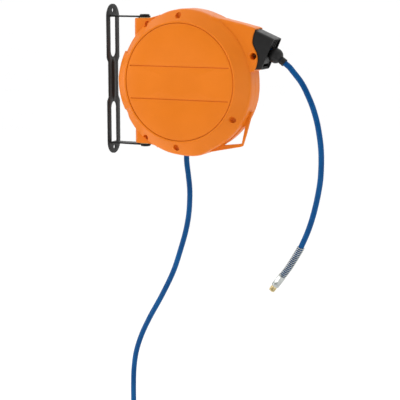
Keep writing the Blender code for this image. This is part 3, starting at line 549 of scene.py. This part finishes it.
def casing_height(x, z, neck):
    """How far the casing's outside stands from the parting line, at points from the drum's axis."""
    neck_slope, boss_slope, lug_slope = 2.4, 1.2, 4.0
    height = np.maximum(shoulder(np.hypot(x, z), edge_radius(np.arctan2(z, x))), 0.002)
    depth = inside_distance(neck, x, z)
    blend = 0.002 + 0.008 * np.clip((z - 0.040) / 0.045, 0, 1)  # wider towards the neck's top
    height = smooth_max(height, NECK_HALF + neck_slope * np.clip(depth, -0.02, 0), blend)
    boss_x, boss_z = SCREWS["case_screw_nozzle"][:2]
    from_boss = np.hypot(x - boss_x, z - boss_z)
    boss = NECK_HALF + 0.0011 - boss_slope * np.clip(from_boss - 0.0098, 0, None)
    height = smooth_max(height, boss, 0.0006)
    for sign in (1, -1):
        from_pivot = np.clip(PIVOT_X - DRUM_X - x, 0, LUG_RADIUS)
        lug = np.sqrt(np.clip(LUG_RADIUS ** 2 - from_pivot ** 2, 0, None))
        lug = np.minimum(lug, 0.0165)
        inner = np.clip(LUG_LOW[sign] - 0.002 - sign * z, 0, None)
        lug = np.where(x < -0.045, lug - lug_slope * inner, -1)
        height = smooth_max(height, lug, 0.0012)
    return height


def casing_body(name, side, face_rings, neck):
    """One half of the casing as a solid, in rings that run out from the middle of its face."""
    angles = np.arange(COLUMNS) * 2 * math.pi / COLUMNS
    degrees = np.degrees(angles)
    round_edge = blur(edge_radius(angles), 0.6)
    outer = round_edge
    for outline in (neck, lug_outline(1), lug_outline(-1)):
        outer = np.maximum(outer, reach(outline, angles))
    outer = blur(outer, 0.8)
    spreads = outer > round_edge + 0.0012  # true at the neck and the lugs
    ray = np.stack([np.cos(angles), np.sin(angles)], 1)
    edge = ray * outer[:, None]
    tangent = blur(np.roll(edge, -1, axis=0) - np.roll(edge, 1, axis=0), 4)
    normal = np.stack([tangent[:, 1], -tangent[:, 0]], 1)
    normal /= np.linalg.norm(normal, axis=1)[:, None]
    neck_top = np.clip((degrees - 37) / 3, 0, 1) * np.clip((66 - degrees) / 3, 0, 1)
    soft = 0.0018 + 0.0040 * neck_top  # how far in the outer edge is rounded
    inset = edge - np.where(spreads, soft, 0)[:, None] * normal

    def height_at(points):
        return casing_height(points[:, 0], points[:, 1], neck)

    rings = [(ray * radius, np.full(COLUMNS, height)) for radius, height in face_rings]
    # The cone, then the roll.
    roll_start = round_edge - ROLL * (1 - math.sin(CONE_TILT))
    for share in np.linspace(0, 1, 15):
        points = ray * (RIM_RADIUS + (roll_start - RIM_RADIUS) * share)[:, None]
        rings.append((points, height_at(points)))
    for turn in np.linspace(CONE_TILT, math.radians(88), 9)[1:]:
        points = ray * (round_edge - ROLL * (1 - math.sin(turn)))[:, None]
        rings.append((points, height_at(points)))
    # A fine groove round the wall, just under the roll.
    for level, notch in ((0.0213, 0), (0.0211, 0.0006), (0.0205, 0.0006), (0.0203, 0)):
        wall = ray * (round_edge - notch)[:, None]
        spread = ray * (round_edge + 0.0003 + 0.04 * (0.0213 - level))[:, None]
        points = np.where(spreads[:, None], spread, wall)
        rings.append((points, np.where(spreads, height_at(points), level)))
    # Out over the neck and the lugs, and down the wall elsewhere.
    start = ray * (round_edge + 0.0004)[:, None]
    for share in np.arange(1, 25) / 24:
        points = np.where(spreads[:, None], start + (inset - start) * share, edge)
        rings.append((points, np.where(spreads, height_at(points), 0.0203 - 0.0103 * share)))
    # The rounded outer edge.
    top = np.where(spreads, np.maximum(height_at(inset), 0.0012), 0.0100)
    for turn in np.radians(np.linspace(0, 90, 8)[1:]):
        points = edge - np.where(spreads, soft * (1 - math.sin(turn)), 0)[:, None] * normal
        fall = np.where(spreads, np.minimum(soft, 0.6 * top), 0.0020) * (1 - math.cos(turn))
        rings.append((points, top - fall))
    # The chamfer at the parting face.
    chamfer = 0.0004
    foot = rings[-1][1]
    rings.append((edge, foot * 0.5))
    rings.append((edge, np.minimum(foot * 0.4, chamfer + GAP / 2)))
    rings.append((edge - chamfer * normal, np.full(COLUMNS, GAP / 2)))
    skin = [np.stack([DRUM_X + p[:, 0], side * h, p[:, 1]], 1) for p, h in rings]
    return new_object(name, loft(name, skin))


def cut_cavity(shell, side):
    """Hollows one half, and leaves the screws' bosses standing."""
    floor = FACE_Y - WALL if side > 0 else FACE_INSIDE
    slant = 0.1255 + FACE_Y - WALL * math.sqrt(2)  # radius + depth along the sloping wall
    bend = CAVITY_RADIUS - 0.001
    profile = [(0, side * floor), (slant - floor, side * floor), (bend, side * (slant - bend)),
               (CAVITY_RADIUS, side * 0.018), (CAVITY_RADIUS, -side * 0.002), (0, -side * 0.002)]
    low, high = sorted((side * (NECK_HALF - WALL + GAP), -side * 0.0015))
    hollow = new_object("hollow", lathe("hollow", profile, Y_AXIS, 96))
    combine(hollow, "UNION", prism("hollow", from_drum(NECK_CAVITY), "Y", low, high))
    for x, z, _, _ in SCREWS.values():
        cut(hollow, rod("boss", (DRUM_X + x, -0.06, z), (0, 1, 0), BOSS_RADIUS, 0.12))
    cut(shell, mesh_of(hollow))


def stadium(start, end, radius, steps=12):
    """A slot's outline with round ends, as (x, z)."""
    run = Vector(end) - Vector(start)
    turn = math.degrees(math.atan2(run.y, run.x))
    return arc(end, radius, turn - 90, turn + 90, steps) + arc(start, radius, turn + 90, turn + 270, steps)


def recess_cutter(x, z, floor):
    """A screw's recess, flared at its mouth. All but the nozzle's end in a plug over the screw."""
    flare = 0.0100 if floor < -0.020 else 0.0185
    profile = [(0, 0), (RECESS_RADIUS - 0.0006, 0), (RECESS_RADIUS + 0.0002, 0.0008),
               (RECESS_RADIUS + 0.0006, flare), (RECESS_RADIUS + 0.0014, flare + 0.0022),
               (RECESS_RADIUS + 0.0040, flare + 0.0062), (RECESS_RADIUS + 0.0040, 0.05), (0, 0.05)]
    return lathe("recess", profile, along((DRUM_X + x, floor, z), (0, -1, 0)), 48)


def screw_pocket(x, z, seat):
    """The room for a screw's head and shank inside its boss."""
    head = 0.0034
    end = head - seat + 0.005
    profile = [(0, 0), (0.0049, 0), (0.0049, head), (0.0023, head), (0.0023, end), (0, end)]
    return lathe("pocket", profile, along((DRUM_X + x, seat - head, z), (0, 1, 0)), 40)


def handle_mesh(side):
    """The carrying bar below the right of the casing."""
    outer = [(0.110, -0.070), (0.1470, -0.0586), (0.1408, -0.0810), (0.1343, -0.1045), (0.1272, -0.1270),
             *HANDLE_ELBOW, (0.1190, -0.1343), (0.0495, -0.1488), (0.040, -0.135), (0.090, -0.090)]
    low, high = sorted((side * HANDLE_HALF, side * GAP / 2))
    handle = new_object("handle", prism("handle", from_drum(outer), "Y", low, high))
    soften(handle, 0.0012, 3, 60)
    return mesh_of(handle)


def grip_opening():
    corner = arc((0.1222, -0.1252), 0.0020, -10, -80, 5)
    outline = arc((0, 0), 0.1560, -58, -36.5, 24) + [(0.1300, -0.0908), (0.1316, -0.0904), *corner]
    return prism("grip", from_drum(outline), "Y", -0.03, 0.03)


def make_shell(name, node, side, face_rings):
    neck = neck_outline() - (0 if side < 0 else REAR_NECK_SHIFT)
    shell = casing_body(name, side, face_rings, neck)
    combine(shell, "UNION", handle_mesh(side))
    cut(shell, grip_opening())
    cut_cavity(shell, side)
    for sign in (1, -1):
        start = (PIVOT_X, 0, sign * (LUG_LOW[sign] - 0.02))
        bore = rod("bore", start, (0, 0, sign), LUG_BORE, LUG_FACE[sign] - LUG_LOW[sign] + 0.04)
        cut(shell, bore)
    if side < 0:
        for x, z, seat, floor in SCREWS.values():
            cut(shell, recess_cutter(x, z, floor), screw_pocket(x, z, seat))
        cut(shell, rod("opening", (DRUM_X, -0.06, 0), (0, 1, 0), COVER_OPENING, 0.03, 96))
    else:
        cut(shell, rod("opening", (DRUM_X, 0.03, 0), (0, 1, 0), SHAFT_HOLE, 0.03))
    return dress(shell, "casing", "case_orange", node, sharp=32)


def front_face_rings():
    """From the middle of the cover's seat out to the rounded rim about it."""
    floor = FACE_Y - 0.0033
    seat = COVER_RADIUS + 0.0007
    return [(0.02, floor), (0.06, floor), (0.10, floor), (seat - 0.0004, floor), (seat, floor + 0.0004),
            (seat, FACE_Y - 0.0009), (seat + 0.0003, FACE_Y - 0.0003), (seat + 0.0009, FACE_Y),
            (0.1245, FACE_Y), (0.1256, FACE_Y - 0.0001)]


def rear_face_rings():
    """A plain back with two shallow steps pressed into it."""
    rings = [(0.02, FACE_Y - 0.0015), (0.030, FACE_Y - 0.0015), (0.0312, FACE_Y - 0.0003), (0.032, FACE_Y)]
    for radius in (0.072, 0.104):
        rings += [(radius, FACE_Y), (radius + 0.0006, FACE_Y - 0.0008), (radius + 0.0018, FACE_Y - 0.0008),
                  (radius + 0.0024, FACE_Y)]
    return [*rings, (0.120, FACE_Y), (0.1256, FACE_Y - 0.0001)]


def make_cover():
    """The round front cover: a shallow dished disc with a blank band between two grooves."""
    back = -FACE_Y + 0.003
    rim = COVER_RADIUS
    profile = [(0, -FACE_Y + 0.0004), (0.030, -FACE_Y + 0.0004), (0.090, -FACE_Y + 0.0003),
               (rim - 0.0022, -FACE_Y + 0.00005), (rim - 0.0012, -FACE_Y + 0.0003),
               (rim - 0.0003, -FACE_Y + 0.0011), (rim, -FACE_Y + 0.0018), (rim, back), (0, back)]
    cover = new_object("cover_front", lathe("cover", profile, Y_AXIS, 192))
    groove_half, groove_reach = 0.0009, 0.1165
    for height in (0.0325, -0.0361):
        end = math.sqrt(groove_reach ** 2 - height ** 2)
        line = stadium((-end, height), (end, height), groove_half, 6)
        cut(cover, prism("line", from_drum(line), "Y", -FACE_Y - 0.001, -FACE_Y + 0.0020))
    soften(cover, 0.0003, 2, 50)
    return dress(cover, "casing", "case_orange", "front_cover", sharp=32)


def make_screws():
    """Pan heads with a cross recess, deep in the casing."""
    for name, (x, z, seat, _) in SCREWS.items():
        tip = -seat + 0.0175
        profile = [(0, 0), (0.0026, 0), (0.0038, 0.0005), (0.0044, 0.0012), (0.0045, 0.0019),
                   (0.0045, 0.0026), (0.0020, 0.0027), (0.0020, tip), (0, tip)]
        place = along((DRUM_X + x, seat - 0.0030, z), (0, 1, 0))
        screw = new_object(f"{name}_fine", lathe(name, profile, place, 40))
        for a, b in ((0.0024, 0.0005), (0.0005, 0.0024)):
            low = seat - 0.0035
            cross = [(x - a, z - b), (x + a, z - b), (x + a, z + b), (x - a, z + b)]
            cut(screw, prism("cross", from_drum(cross), "Y", low, low + 0.0018))
        dress(screw, "casing", "screw_black", name, sharp=30)


# ---- wall bracket ----
def plate_outline():
    """Half-round ends and a narrower waist with soft shoulders, as (y, z)."""
    end = PLATE_HALF_HEIGHT - PLATE_HALF_WIDTH
    waist = [(PLATE_HALF_WIDTH, 0.0475), (0.0264, 0.0455), (0.0211, 0.0385), (0.0205, 0.0365)]
    right = [(y, -z) for y, z in waist] + [(y, z) for y, z in reversed(waist)]
    left = [(-y, -z) for y, z in right]
    top = arc((0, end), PLATE_HALF_WIDTH, 0, 180, 40)
    bottom = arc((0, -end), PLATE_HALF_WIDTH, 180, 360, 40)
    return [(y, z + PLATE_MIDDLE) for y, z in right + top + left + bottom]


def make_bracket():
    """The wall plate with its slots, end holes and pressed waist, and the two arms bent out of it."""
    plate = new_object("bracket_plate", prism("plate", plate_outline(), "X", 0, PLATE_THICK))
    for sign in (1, -1):
        top = ARM_HEIGHT[sign] - PLATE_THICK / 2 - GAP
        slot = [(SLOT_HALF_WIDTH, top), (-SLOT_HALF_WIDTH, top)]
        slot += arc((0, SLOT_ROUND_END + sign * PLATE_MIDDLE), SLOT_HALF_WIDTH, 180, 360, 28)
        cut(plate, prism("slot", [(y, sign * z) for y, z in slot], "X", -0.001, 0.004))
        hole_height = PLATE_MIDDLE + sign * END_HOLE_HEIGHT
        cut(plate, rod("hole", (-0.001, 0, hole_height), (1, 0, 0), END_HOLE_RADIUS, 0.006))
    channel = [(-0.0065, 0.0), (-0.0055, 0.0014), (-0.0035, 0.0021), (0.0, 0.0022), (0.0035, 0.0021),
               (0.0055, 0.0014), (0.0065, 0.0)]
    rings = []
    base = PLATE_THICK - 0.0006
    for rise, share in ((-0.044, 0.0), (-0.041, 0.55), (-0.036, 1), (0.036, 1), (0.041, 0.55), (0.044, 0.0)):
        z = PLATE_MIDDLE + rise
        narrow = 0.7 + 0.3 * share
        ring = [(base + h * share + 0.0007, y * narrow, z) for y, h in channel]
        rings.append([*ring, (base, 0.0065 * narrow, z), (base, -0.0065 * narrow, z)])
    combine(plate, "UNION", loft("channel", rings))
    for sign in (1, -1):
        combine(plate, "UNION", arm_mesh(sign))
        hole = rod("hole", (PIVOT_X, 0, sign * ARM_HEIGHT[sign] - 0.006), (0, 0, 1), 0.0053, 0.012)
        cut(plate, hole)
    soften(plate, 0.0005, 3, 30)
    return dress(plate, "bracket", "bracket_black", "wall_bracket", sharp=40)


def arm_mesh(sign):
    """A tongue that leaves the plate in a small bend and ends half round over the pivot."""
    under, over = ARM_HEIGHT[sign] - PLATE_THICK / 2, ARM_HEIGHT[sign] + PLATE_THICK / 2
    bend = 0.0025
    section = [(0.0008, over), (0.0008, under), (PLATE_THICK, under), (0.12, under), (0.12, over),
               (PLATE_THICK + bend, over), (PLATE_THICK + bend * 0.5, over + bend * 0.13),
               (PLATE_THICK + bend * 0.13, over + bend * 0.5), (PLATE_THICK, over + bend),
               (0.0008, over + bend)]
    section = [(x, sign * z) for x, z in section]
    arm = new_object("arm", prism("arm", section, "Y", -ARM_HALF_WIDTH, ARM_HALF_WIDTH))
    foot = ARM_HALF_WIDTH + 0.001
    plan = [(0.0, foot), (0.0, -foot), (0.006, -foot), (0.007, -ARM_HALF_WIDTH)]
    plan += arc((PIVOT_X, 0), ARM_HALF_WIDTH, -90, 90, 40) + [(0.007, ARM_HALF_WIDTH), (0.006, foot)]
    combine(arm, "INTERSECT", prism("plan", plan, "Z", -0.2, 0.2))
    return mesh_of(arm)


def make_pivots():
    """The two bolts that the casing swings on, and their washers."""
    bolt = [(0, -0.036), (0.0045, -0.036), (0.005, -0.0355), (0.005, 0.0), (0.0102, 0.0), (0.0105, 0.0003),
            (0.0105, 0.0016), (0.0101, 0.0024), (0.0092, 0.0030), (0.0075, 0.0033), (0.0040, 0.0034),
            (0.0036, 0.0031), (0.0035, 0.0015), (0, 0.0015)]
    washer = [(0.0053, 0.0001), (0.0056, 0), (0.0136, 0), (0.014, 0.0003), (0.014, 0.0006), (0.0136, 0.0009),
              (0.0056, 0.0009), (0.0053, 0.0008)]
    for sign, side in ((1, "upper"), (-1, "lower")):
        place = along((PIVOT_X, 0, sign * (ARM_HEIGHT[sign] + PLATE_THICK / 2 + GAP)), (0, 0, sign))
        add_piece(f"pivot_bolt_{side}", lathe("bolt", bolt, place), "bracket", "bracket_black",
                  f"{side}_pivot_bolt", sharp=30)
        place = along((PIVOT_X, 0, sign * (LUG_FACE[sign] + GAP)), (0, 0, sign))
        add_piece(f"pivot_washer_{side}", lathe("washer", washer, place), "bracket", "brass",
                  f"{side}_pivot_washer", sharp=30)


# ---- nozzle ----
def guide_section(top, low, wall=0.0):
    """A rounded rectangle across the nozzle, between a point on its top and one on its bottom."""
    up = (Vector(top) - Vector(low)).normalized()
    centre = (Vector(top) + Vector(low)) / 2
    half_height = (Vector(top) - Vector(low)).length / 2 - wall
    half_width = GUIDE_HALF - wall
    radius = max(GUIDE_CORNER - wall, 0.001)
    ring = []
    for quarter, (side, lift) in enumerate(((1, 1), (-1, 1), (-1, -1), (1, -1))):
        corner = (side * (half_width - radius), lift * (half_height - radius))
        for y, rise in arc(corner, radius, quarter * 90, quarter * 90 + 90, 6):
            ring.append(Vector((DRUM_X + centre.x + up.x * rise, y, centre.y + up.y * rise)))
    return ring


def make_guide():
    """The black nozzle, open at its slanted mouth, with a stop plate and ribs just inside."""
    tail, neck, mouth = [(Vector(top), Vector(low)) for top, low in GUIDE_STATIONS]

    def ends(share):
        """The nozzle's top and bottom, at a share of the way from the neck to the mouth."""
        return neck[0].lerp(mouth[0], share), neck[1].lerp(mouth[1], share)

    def inner(share):
        return guide_section(*ends(share), GUIDE_WALL)

    def spot(share, height):
        """A point on the section at share, from its bottom (0) to its top (1)."""
        top, low = ends(share)
        return tuple(low.lerp(top, height))

    outside = [guide_section(*tail), guide_section(*ends(0)), guide_section(*ends(1))]
    guide = new_object("nozzle", loft("guide", outside))
    behind = guide_section(tail[0] + Vector((-0.010, 0.0030)), tail[1] + Vector((-0.010, 0.0)), GUIDE_WALL)
    chamber = [behind, guide_section(*tail, GUIDE_WALL), inner(0), inner(0.84)]
    cut(guide, loft("mouth", [inner(0.885), inner(1.2)]), loft("chamber", chamber))
    for low, high in ((0.60, 0.90), (0.08, 0.17)):
        window = [spot(0.80, low), spot(0.80, high), spot(0.92, high), spot(0.92, low)]
        cut(guide, prism("window", from_drum(window), "Y", -0.016, 0.016))
    for y in (-0.0095, 0.0, 0.0095):
        rib = [spot(0.84, 0.58), spot(0.84, 0.96), spot(0.97, 0.96), spot(0.93, 0.58)]
        combine(guide, "UNION", prism("rib", from_drum(rib), "Y", y - 0.0008, y + 0.0008))
    room = BALL_RADIUS + 0.0006
    seat = [(0, -room), *[(r, h) for h, r in arc((0, 0), room, 176, 4, 30)], (0, room)]
    cut(guide, rod("bore", BALL_CENTRE - EXIT * 0.026, EXIT, HOSE_RADIUS + 0.0016, 0.036),
        lathe("seat", seat, along(BALL_CENTRE, EXIT)))
    x, z = SCREWS["case_screw_nozzle"][:2]
    cut(guide, rod("boss", (DRUM_X + x, -0.03, z), (0, 1, 0), BOSS_RADIUS + 0.0006, 0.06))
    soften(guide, 0.0006, 3, 28)
    return dress(guide, "casing", "guide_black", "outlet_guide")


def make_ball():
    """The rubber ball stop in two halves and the collar clamped behind it."""
    bore = HOSE_RADIUS + GAP
    start = math.degrees(math.asin(bore / BALL_RADIUS))
    profile = [(r, -h) for h, r in arc((0, 0), BALL_RADIUS, start, 180 - start, 48)]
    profile = [(bore, profile[0][1] + 0.0004), *profile[1:-1], (bore, profile[-1][1] - 0.0004)]
    for side, name in ((1, "upper"), (-1, "lower")):
        half = new_object(f"ball_{name}", lathe("ball", profile, along(BALL_CENTRE, EXIT), 72))
        away = ABOVE_EXIT * side
        cut(half, rod("slab", BALL_CENTRE + away * GAP / 2, -away, 0.030, 0.030, 16))
        soften(half, 0.00035, 2, 40)
        dress(half, "casing", "rubber", f"stop_ball_{name}", sharp=40)
    length = COLLAR_END - COLLAR_START
    ring = [(bore, 0), (0.0077, 0), (0.0080, 0.0003), (0.0080, length * 0.42), (0.0076, length * 0.46),
            (0.0076, length * 0.54), (0.0080, length * 0.58), (0.0080, length - 0.0004),
            (0.0076, length), (bore, length)]
    collar = lathe("collar", ring, along(BALL_CENTRE + EXIT * COLLAR_START, EXIT))
    add_piece("collar", collar, "casing", "rubber", "stop_collar", sharp=30)


def make_rollers():
    """The two waisted rollers that the hose runs between, on their pins."""
    half = GUIDE_HALF - GUIDE_WALL - 0.0008
    pin_half = GUIDE_HALF - 0.0010
    profile = [(0.0023, -half), (0.0046, -half), (0.005, -half + 0.0004), (0.005, -half * 0.5),
               (0.0046, -half * 0.2), (0.0044, 0), (0.0046, half * 0.2), (0.005, half * 0.5),
               (0.005, half - 0.0004), (0.0046, half), (0.0023, half)]
    for side in ("upper", "lower"):
        centre = Vector(JOINTS[f"roller_{side}_spin"]["pos_m"])
        roller = lathe("roller", profile, along(centre, (0, 1, 0)), 48)
        add_piece(f"roller_{side}_fine", roller, f"roller_{side}", "roller_maroon",
                  f"guide_roller_{side}", sharp=40)
        pin = rod("pin", centre - Vector((0, pin_half, 0)), (0, 1, 0), 0.002, 2 * pin_half, 32)
        add_piece(f"roller_pin_{side}_fine", pin, "casing", "steel", f"roller_pin_{side}")


# ---- hoses and fittings ----
def smooth_route(route, spacing):
    """Even points along a smooth curve through the route's own points."""
    fine = [Vector(p) for p in smooth_points(route, 16)]
    lengths = [0.0]
    for a, b in zip(fine, fine[1:]):
        lengths.append(lengths[-1] + (b - a).length)
    count = max(2, round(lengths[-1] / spacing))
    points = []
    k = 0
    for step in range(count + 1):
        wanted = lengths[-1] * step / count
        while k < len(fine) - 2 and lengths[k + 1] < wanted:
            k += 1
        share = (wanted - lengths[k]) / (lengths[k + 1] - lengths[k])
        points.append(fine[k].lerp(fine[k + 1], share))
    return points


def hose_curve(name, points):
    curve = bpy.data.curves.new(name, "CURVE")
    curve.dimensions = "3D"
    curve.bevel_depth = HOSE_RADIUS
    curve.bevel_resolution = 8
    curve.use_fill_caps = True
    spline = curve.splines.new("POLY")
    spline.points.add(len(points) - 1)
    for target, point in zip(spline.points, points):
        target.co = (*point, 1)
    spline.use_smooth = True
    return new_object(name, curve)


def guard_mesh(name, points):
    """A close-wound wire spring round the hose, a little wider where the hose enters it."""
    turns, per_turn, sides = 18, 28, 10
    last = len(points) - 1
    aheads = [(points[min(k + 1, last)] - points[max(k - 1, 0)]).normalized() for k in range(last + 1)]
    side = Vector((0, 1, 0))  # the route lies in an XZ plane
    rings = []
    for k in range(turns * per_turn + 1):
        share = k / (turns * per_turn)
        low = min(int(share * last), last - 1)
        part = share * last - low
        ahead = aheads[low].lerp(aheads[low + 1], part).normalized()
        angle = 2 * math.pi * turns * share
        outward = side * math.cos(angle) + ahead.cross(side) * math.sin(angle)
        radius = HOSE_RADIUS + 0.0001 + WIRE_RADIUS + 0.0004 * max(0.0, 1 - share * 6)
        centre = points[low].lerp(points[low + 1], part) + outward * radius
        ring = []
        for n in range(sides):
            turn = 2 * math.pi * n / sides
            ring.append(centre + (outward * math.cos(turn) + ahead * math.sin(turn)) * WIRE_RADIUS)
        rings.append(ring)
    return loft(name, rings)


def swept(place, stations, shape):
    """Rings along place's Z, with the radius that shape(station, angle) gives."""
    segments = 96
    rings = []
    for height in stations:
        ring = []
        for k in range(segments):
            angle = 2 * math.pi * k / segments
            radius = shape(height, angle)
            ring.append(place @ Vector((radius * math.cos(angle), radius * math.sin(angle), height)))
        rings.append(ring)
    return rings


def bored(name, place, length, steps, shape):
    """A fitting with its outside from shape(height, angle) and a plain bore through it."""
    outside = swept(place, [length * k / steps for k in range(steps + 1)], shape)
    inside = swept(place, [length, 0.0], lambda height, angle: FITTING_BORE)
    return loft(name, outside + inside, closed=True)


def ferrule_mesh(name, place):
    """A crimped sleeve with eight pressed flats, a groove and a plain collar."""

    def shape(height, angle):
        if height < 0.0010:
            return 0.0076 + 0.0006 * height / 0.0010
        if height < 0.0192:
            ease = min(1.0, (height - 0.0010) / 0.0022, (0.0192 - height) / 0.0022)
            flat = 0.0083 * math.cos(math.pi / 8) / math.cos((angle % (math.pi / 4)) - math.pi / 8)
            return 0.0083 + (min(0.0083, flat) - 0.0083 - 0.00018) * ease
        if height < 0.0202:
            return 0.0083 - 0.0009 * (height - 0.0192) / 0.0010
        if height < 0.0212:
            return 0.0074
        if height < 0.0218:
            return 0.0074 + 0.0008 * (height - 0.0212) / 0.0006
        fall = max(0.0, height - (FERRULE_LENGTH - 0.0010)) / 0.0010
        return 0.0082 - 0.0006 * fall

    return bored(name, place, FERRULE_LENGTH, 75, shape)


def nipple_mesh(name, place):
    """A threaded nipple: the thread is a true helix on a bored cylinder."""
    pitch = 0.00134
    crest, root, neck = 0.0066, 0.0059, 0.0058
    start, end = 0.0020, NIPPLE_LENGTH - 0.0008

    def shape(height, angle):
        if height <= start or height >= end:
            return neck
        phase = (height / pitch - angle / (2 * math.pi)) % 1.0
        tooth = abs(2 * phase - 1)
        ease = min(1.0, (height - start) / pitch, (end - height) / pitch)
        return neck + (root + (crest - root) * tooth - neck) * ease

    return bored(name, place, NIPPLE_LENGTH, 110, shape)


def make_free_hose(prefix, route, path):
    """A free hose as a curve, with its spring guard, ferrule and nipple."""
    points = smooth_route(path, 0.006)
    hose = hose_curve(f"{prefix}_hose_fine", points)
    dress(hose, "casing", "hose_blue", f"{prefix}_hose")
    end = points[-1]
    ahead = (route[-1] - route[-2]).normalized()
    guard_points = smooth_route(route, 0.004)
    guard_points = guard_points[-1 - round(GUARD_LENGTH / 0.004):]
    guard = add_piece(f"{prefix}_guard_fine", guard_mesh("guard", guard_points), "casing", "steel",
                      f"{prefix}_spring_guard", sharp=60)
    ferrule = add_piece(f"{prefix}_ferrule_fine", ferrule_mesh("ferrule", along(end + ahead * GAP, ahead)),
                        "casing", "steel", f"{prefix}_ferrule", sharp=24)
    foot = end + ahead * (FERRULE_LENGTH + 2 * GAP)
    nipple = add_piece(f"{prefix}_nipple_fine", nipple_mesh("nipple", along(foot, ahead)), "casing", "brass",
                       f"{prefix}_nipple", sharp=50)


def make_hoses():
    start = BALL_CENTRE + EXIT * (COLLAR_END + GAP)
    route = [Vector((x, 0, z)) for x, z in OUTLET_ROUTE]
    make_free_hose("outlet", route, [start, *route])
    route = [Vector((x, INLET_Y, z)) for x, z in INLET_ROUTE]
    make_free_hose("inlet", route, route)


# ---- back of the reel ----
def make_back():
    """The shaft's nut and the brass elbow that the inlet hose comes from."""
    low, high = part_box("shaft_nut")[0].y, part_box("shaft_nut")[1].y
    corner_radius = 0.023
    hexagon = arc((DRUM_X, 0), corner_radius, 0, 300, 5)
    nut = new_object("shaft_nut_fine", prism("nut", hexagon, "Y", low, high))
    dome = [(0, low - 0.001), (0.0226, low - 0.001), (0.0226, high - 0.0022), (0.0198, high + 0.0001),
            (0, high + 0.0001)]
    combine(nut, "INTERSECT", lathe("dome", dome, Y_AXIS, 72))
    cut(nut, rod("bore", (DRUM_X, low - 0.01, 0), (0, 1, 0), SHAFT_HOLE, 0.03))
    soften(nut, 0.0004, 2, 25)
    dress(nut, "casing", "steel", "shaft_nut")
    profile = [(0, 0.0578), (0.0127, 0.0578), (0.013, 0.0582), (0.013, 0.0640), (0.0122, 0.0646),
               (0.0122, 0.0656), (0.013, 0.0662), (0.013, 0.0765), (0.0124, 0.0782), (0.0108, 0.0794),
               (0.0090, 0.0799), (0, 0.0799)]
    elbow = new_object("elbow_fine", lathe("elbow", profile, Y_AXIS, 72))
    branch = [(0, 0), (0.0095, 0), (0.0095, 0.0150), (0.0088, 0.0156), (0.0088, 0.0166), (0.0095, 0.0172),
              (0.0095, 0.0233), (0.0090, 0.0240), (0, 0.0240)]
    combine(elbow, "UNION", lathe("branch", branch, along((DRUM_X, INLET_Y, 0), (0, 0, -1)), 56))
    socket_radius, way_radius = 0.0093, 0.0040
    cut(elbow, rod("socket", (DRUM_X, 0.0570, 0), (0, 1, 0), socket_radius, 0.0073),
        rod("way", (DRUM_X, 0.0600, 0), (0, 1, 0), way_radius, INLET_Y - 0.0600),
        rod("way", (DRUM_X, INLET_Y, 0.001), (0, 0, -1), way_radius, 0.030))
    soften(elbow, 0.0003, 2, 40)
    dress(elbow, "casing", "brass", "inlet_elbow")


def paint_inside():
    """CAD nodes that keep their own shape get the full materials too."""
    slots = {row["node"]: row["material_slot"] for row in frame["record"]["subparts"]}
    for node, obj in frame["nodes"].items():
        obj.data.materials.clear()
        obj.data.materials.append(PAINTS[slots[node]])


# ---- studio ----
def area_light(name, location, target, size, power, colour=(1, 1, 1)):
    data = bpy.data.lights.new(name, "AREA")
    data.shape = "RECTANGLE"
    data.size, data.size_y = size
    data.energy = power
    data.color = colour
    light = new_object(name, data)
    light.location = location
    light.rotation_euler = (Vector(target) - Vector(location)).to_track_quat("-Z", "Y").to_euler()


def studio_world():
    """Daylight-white surroundings: bright overhead and behind, darker on the side of the camera."""
    world = bpy.data.worlds.new("studio")
    world.use_nodes = True
    tree = world.node_tree
    direction = tree.nodes.new("ShaderNodeTexCoord").outputs["Generated"]
    dot = tree.nodes.new("ShaderNodeVectorMath")
    dot.operation = "DOT_PRODUCT"
    dot.inputs[1].default_value = (-0.08, 0.46, 0.68)
    tree.links.new(direction, dot.inputs[0])
    add = tree.nodes.new("ShaderNodeMath")
    add.inputs[1].default_value = 0.60
    tree.links.new(dot.outputs["Value"], add.inputs[0])
    tree.links.new(add.outputs["Value"], tree.nodes["Background"].inputs["Strength"])
    tree.nodes["Background"].inputs["Color"].default_value = (1, 1, 1, 1)
    bpy.context.scene.world = world


def make_studio():
    ground = [(-150, -150), (150, -150), (150, 150), (-150, 150)]
    floor = new_object("floor", prism("floor", ground, "Z", -1.02, -1.0))
    pale = Surface("floor_pale", 0.9, Specular_IOR_Level=0.1)
    pale.colour(pale.noise(0.5, 2), (0.945, 0.945, 0.945), (0.955, 0.955, 0.955))
    pale.rough(pale.noise(0.05, 2), 0.85, 0.95)
    floor.data.materials.append(pale.bump((pale.noise(0.002, 2), 0.00005)).made)
    studio_world()
    middle = (DRUM_X, 0, 0)
    area_light("key", (-1.3, -1.5, 1.6), middle, (0.9, 0.9), 15)
    area_light("left_strip", (-1.5, -1.2, -0.1), middle, (0.18, 2.0), 9)
    area_light("right_strip", (1.9, -0.9, -0.2), middle, (0.14, 2.0), 4)
    bpy.context.scene.view_settings.view_transform = "Standard"


def main():
    make_camera()
    PAINTS.update(make_paints())
    make_hoses()
    make_shell("casing_front", "front_shell", -1, front_face_rings())
    make_shell("casing_rear", "rear_shell", 1, rear_face_rings())
    make_cover()
    make_screws()
    make_bracket()
    make_pivots()
    make_guide()
    make_ball()
    make_rollers()
    make_back()
    paint_inside()
    make_studio()


main()
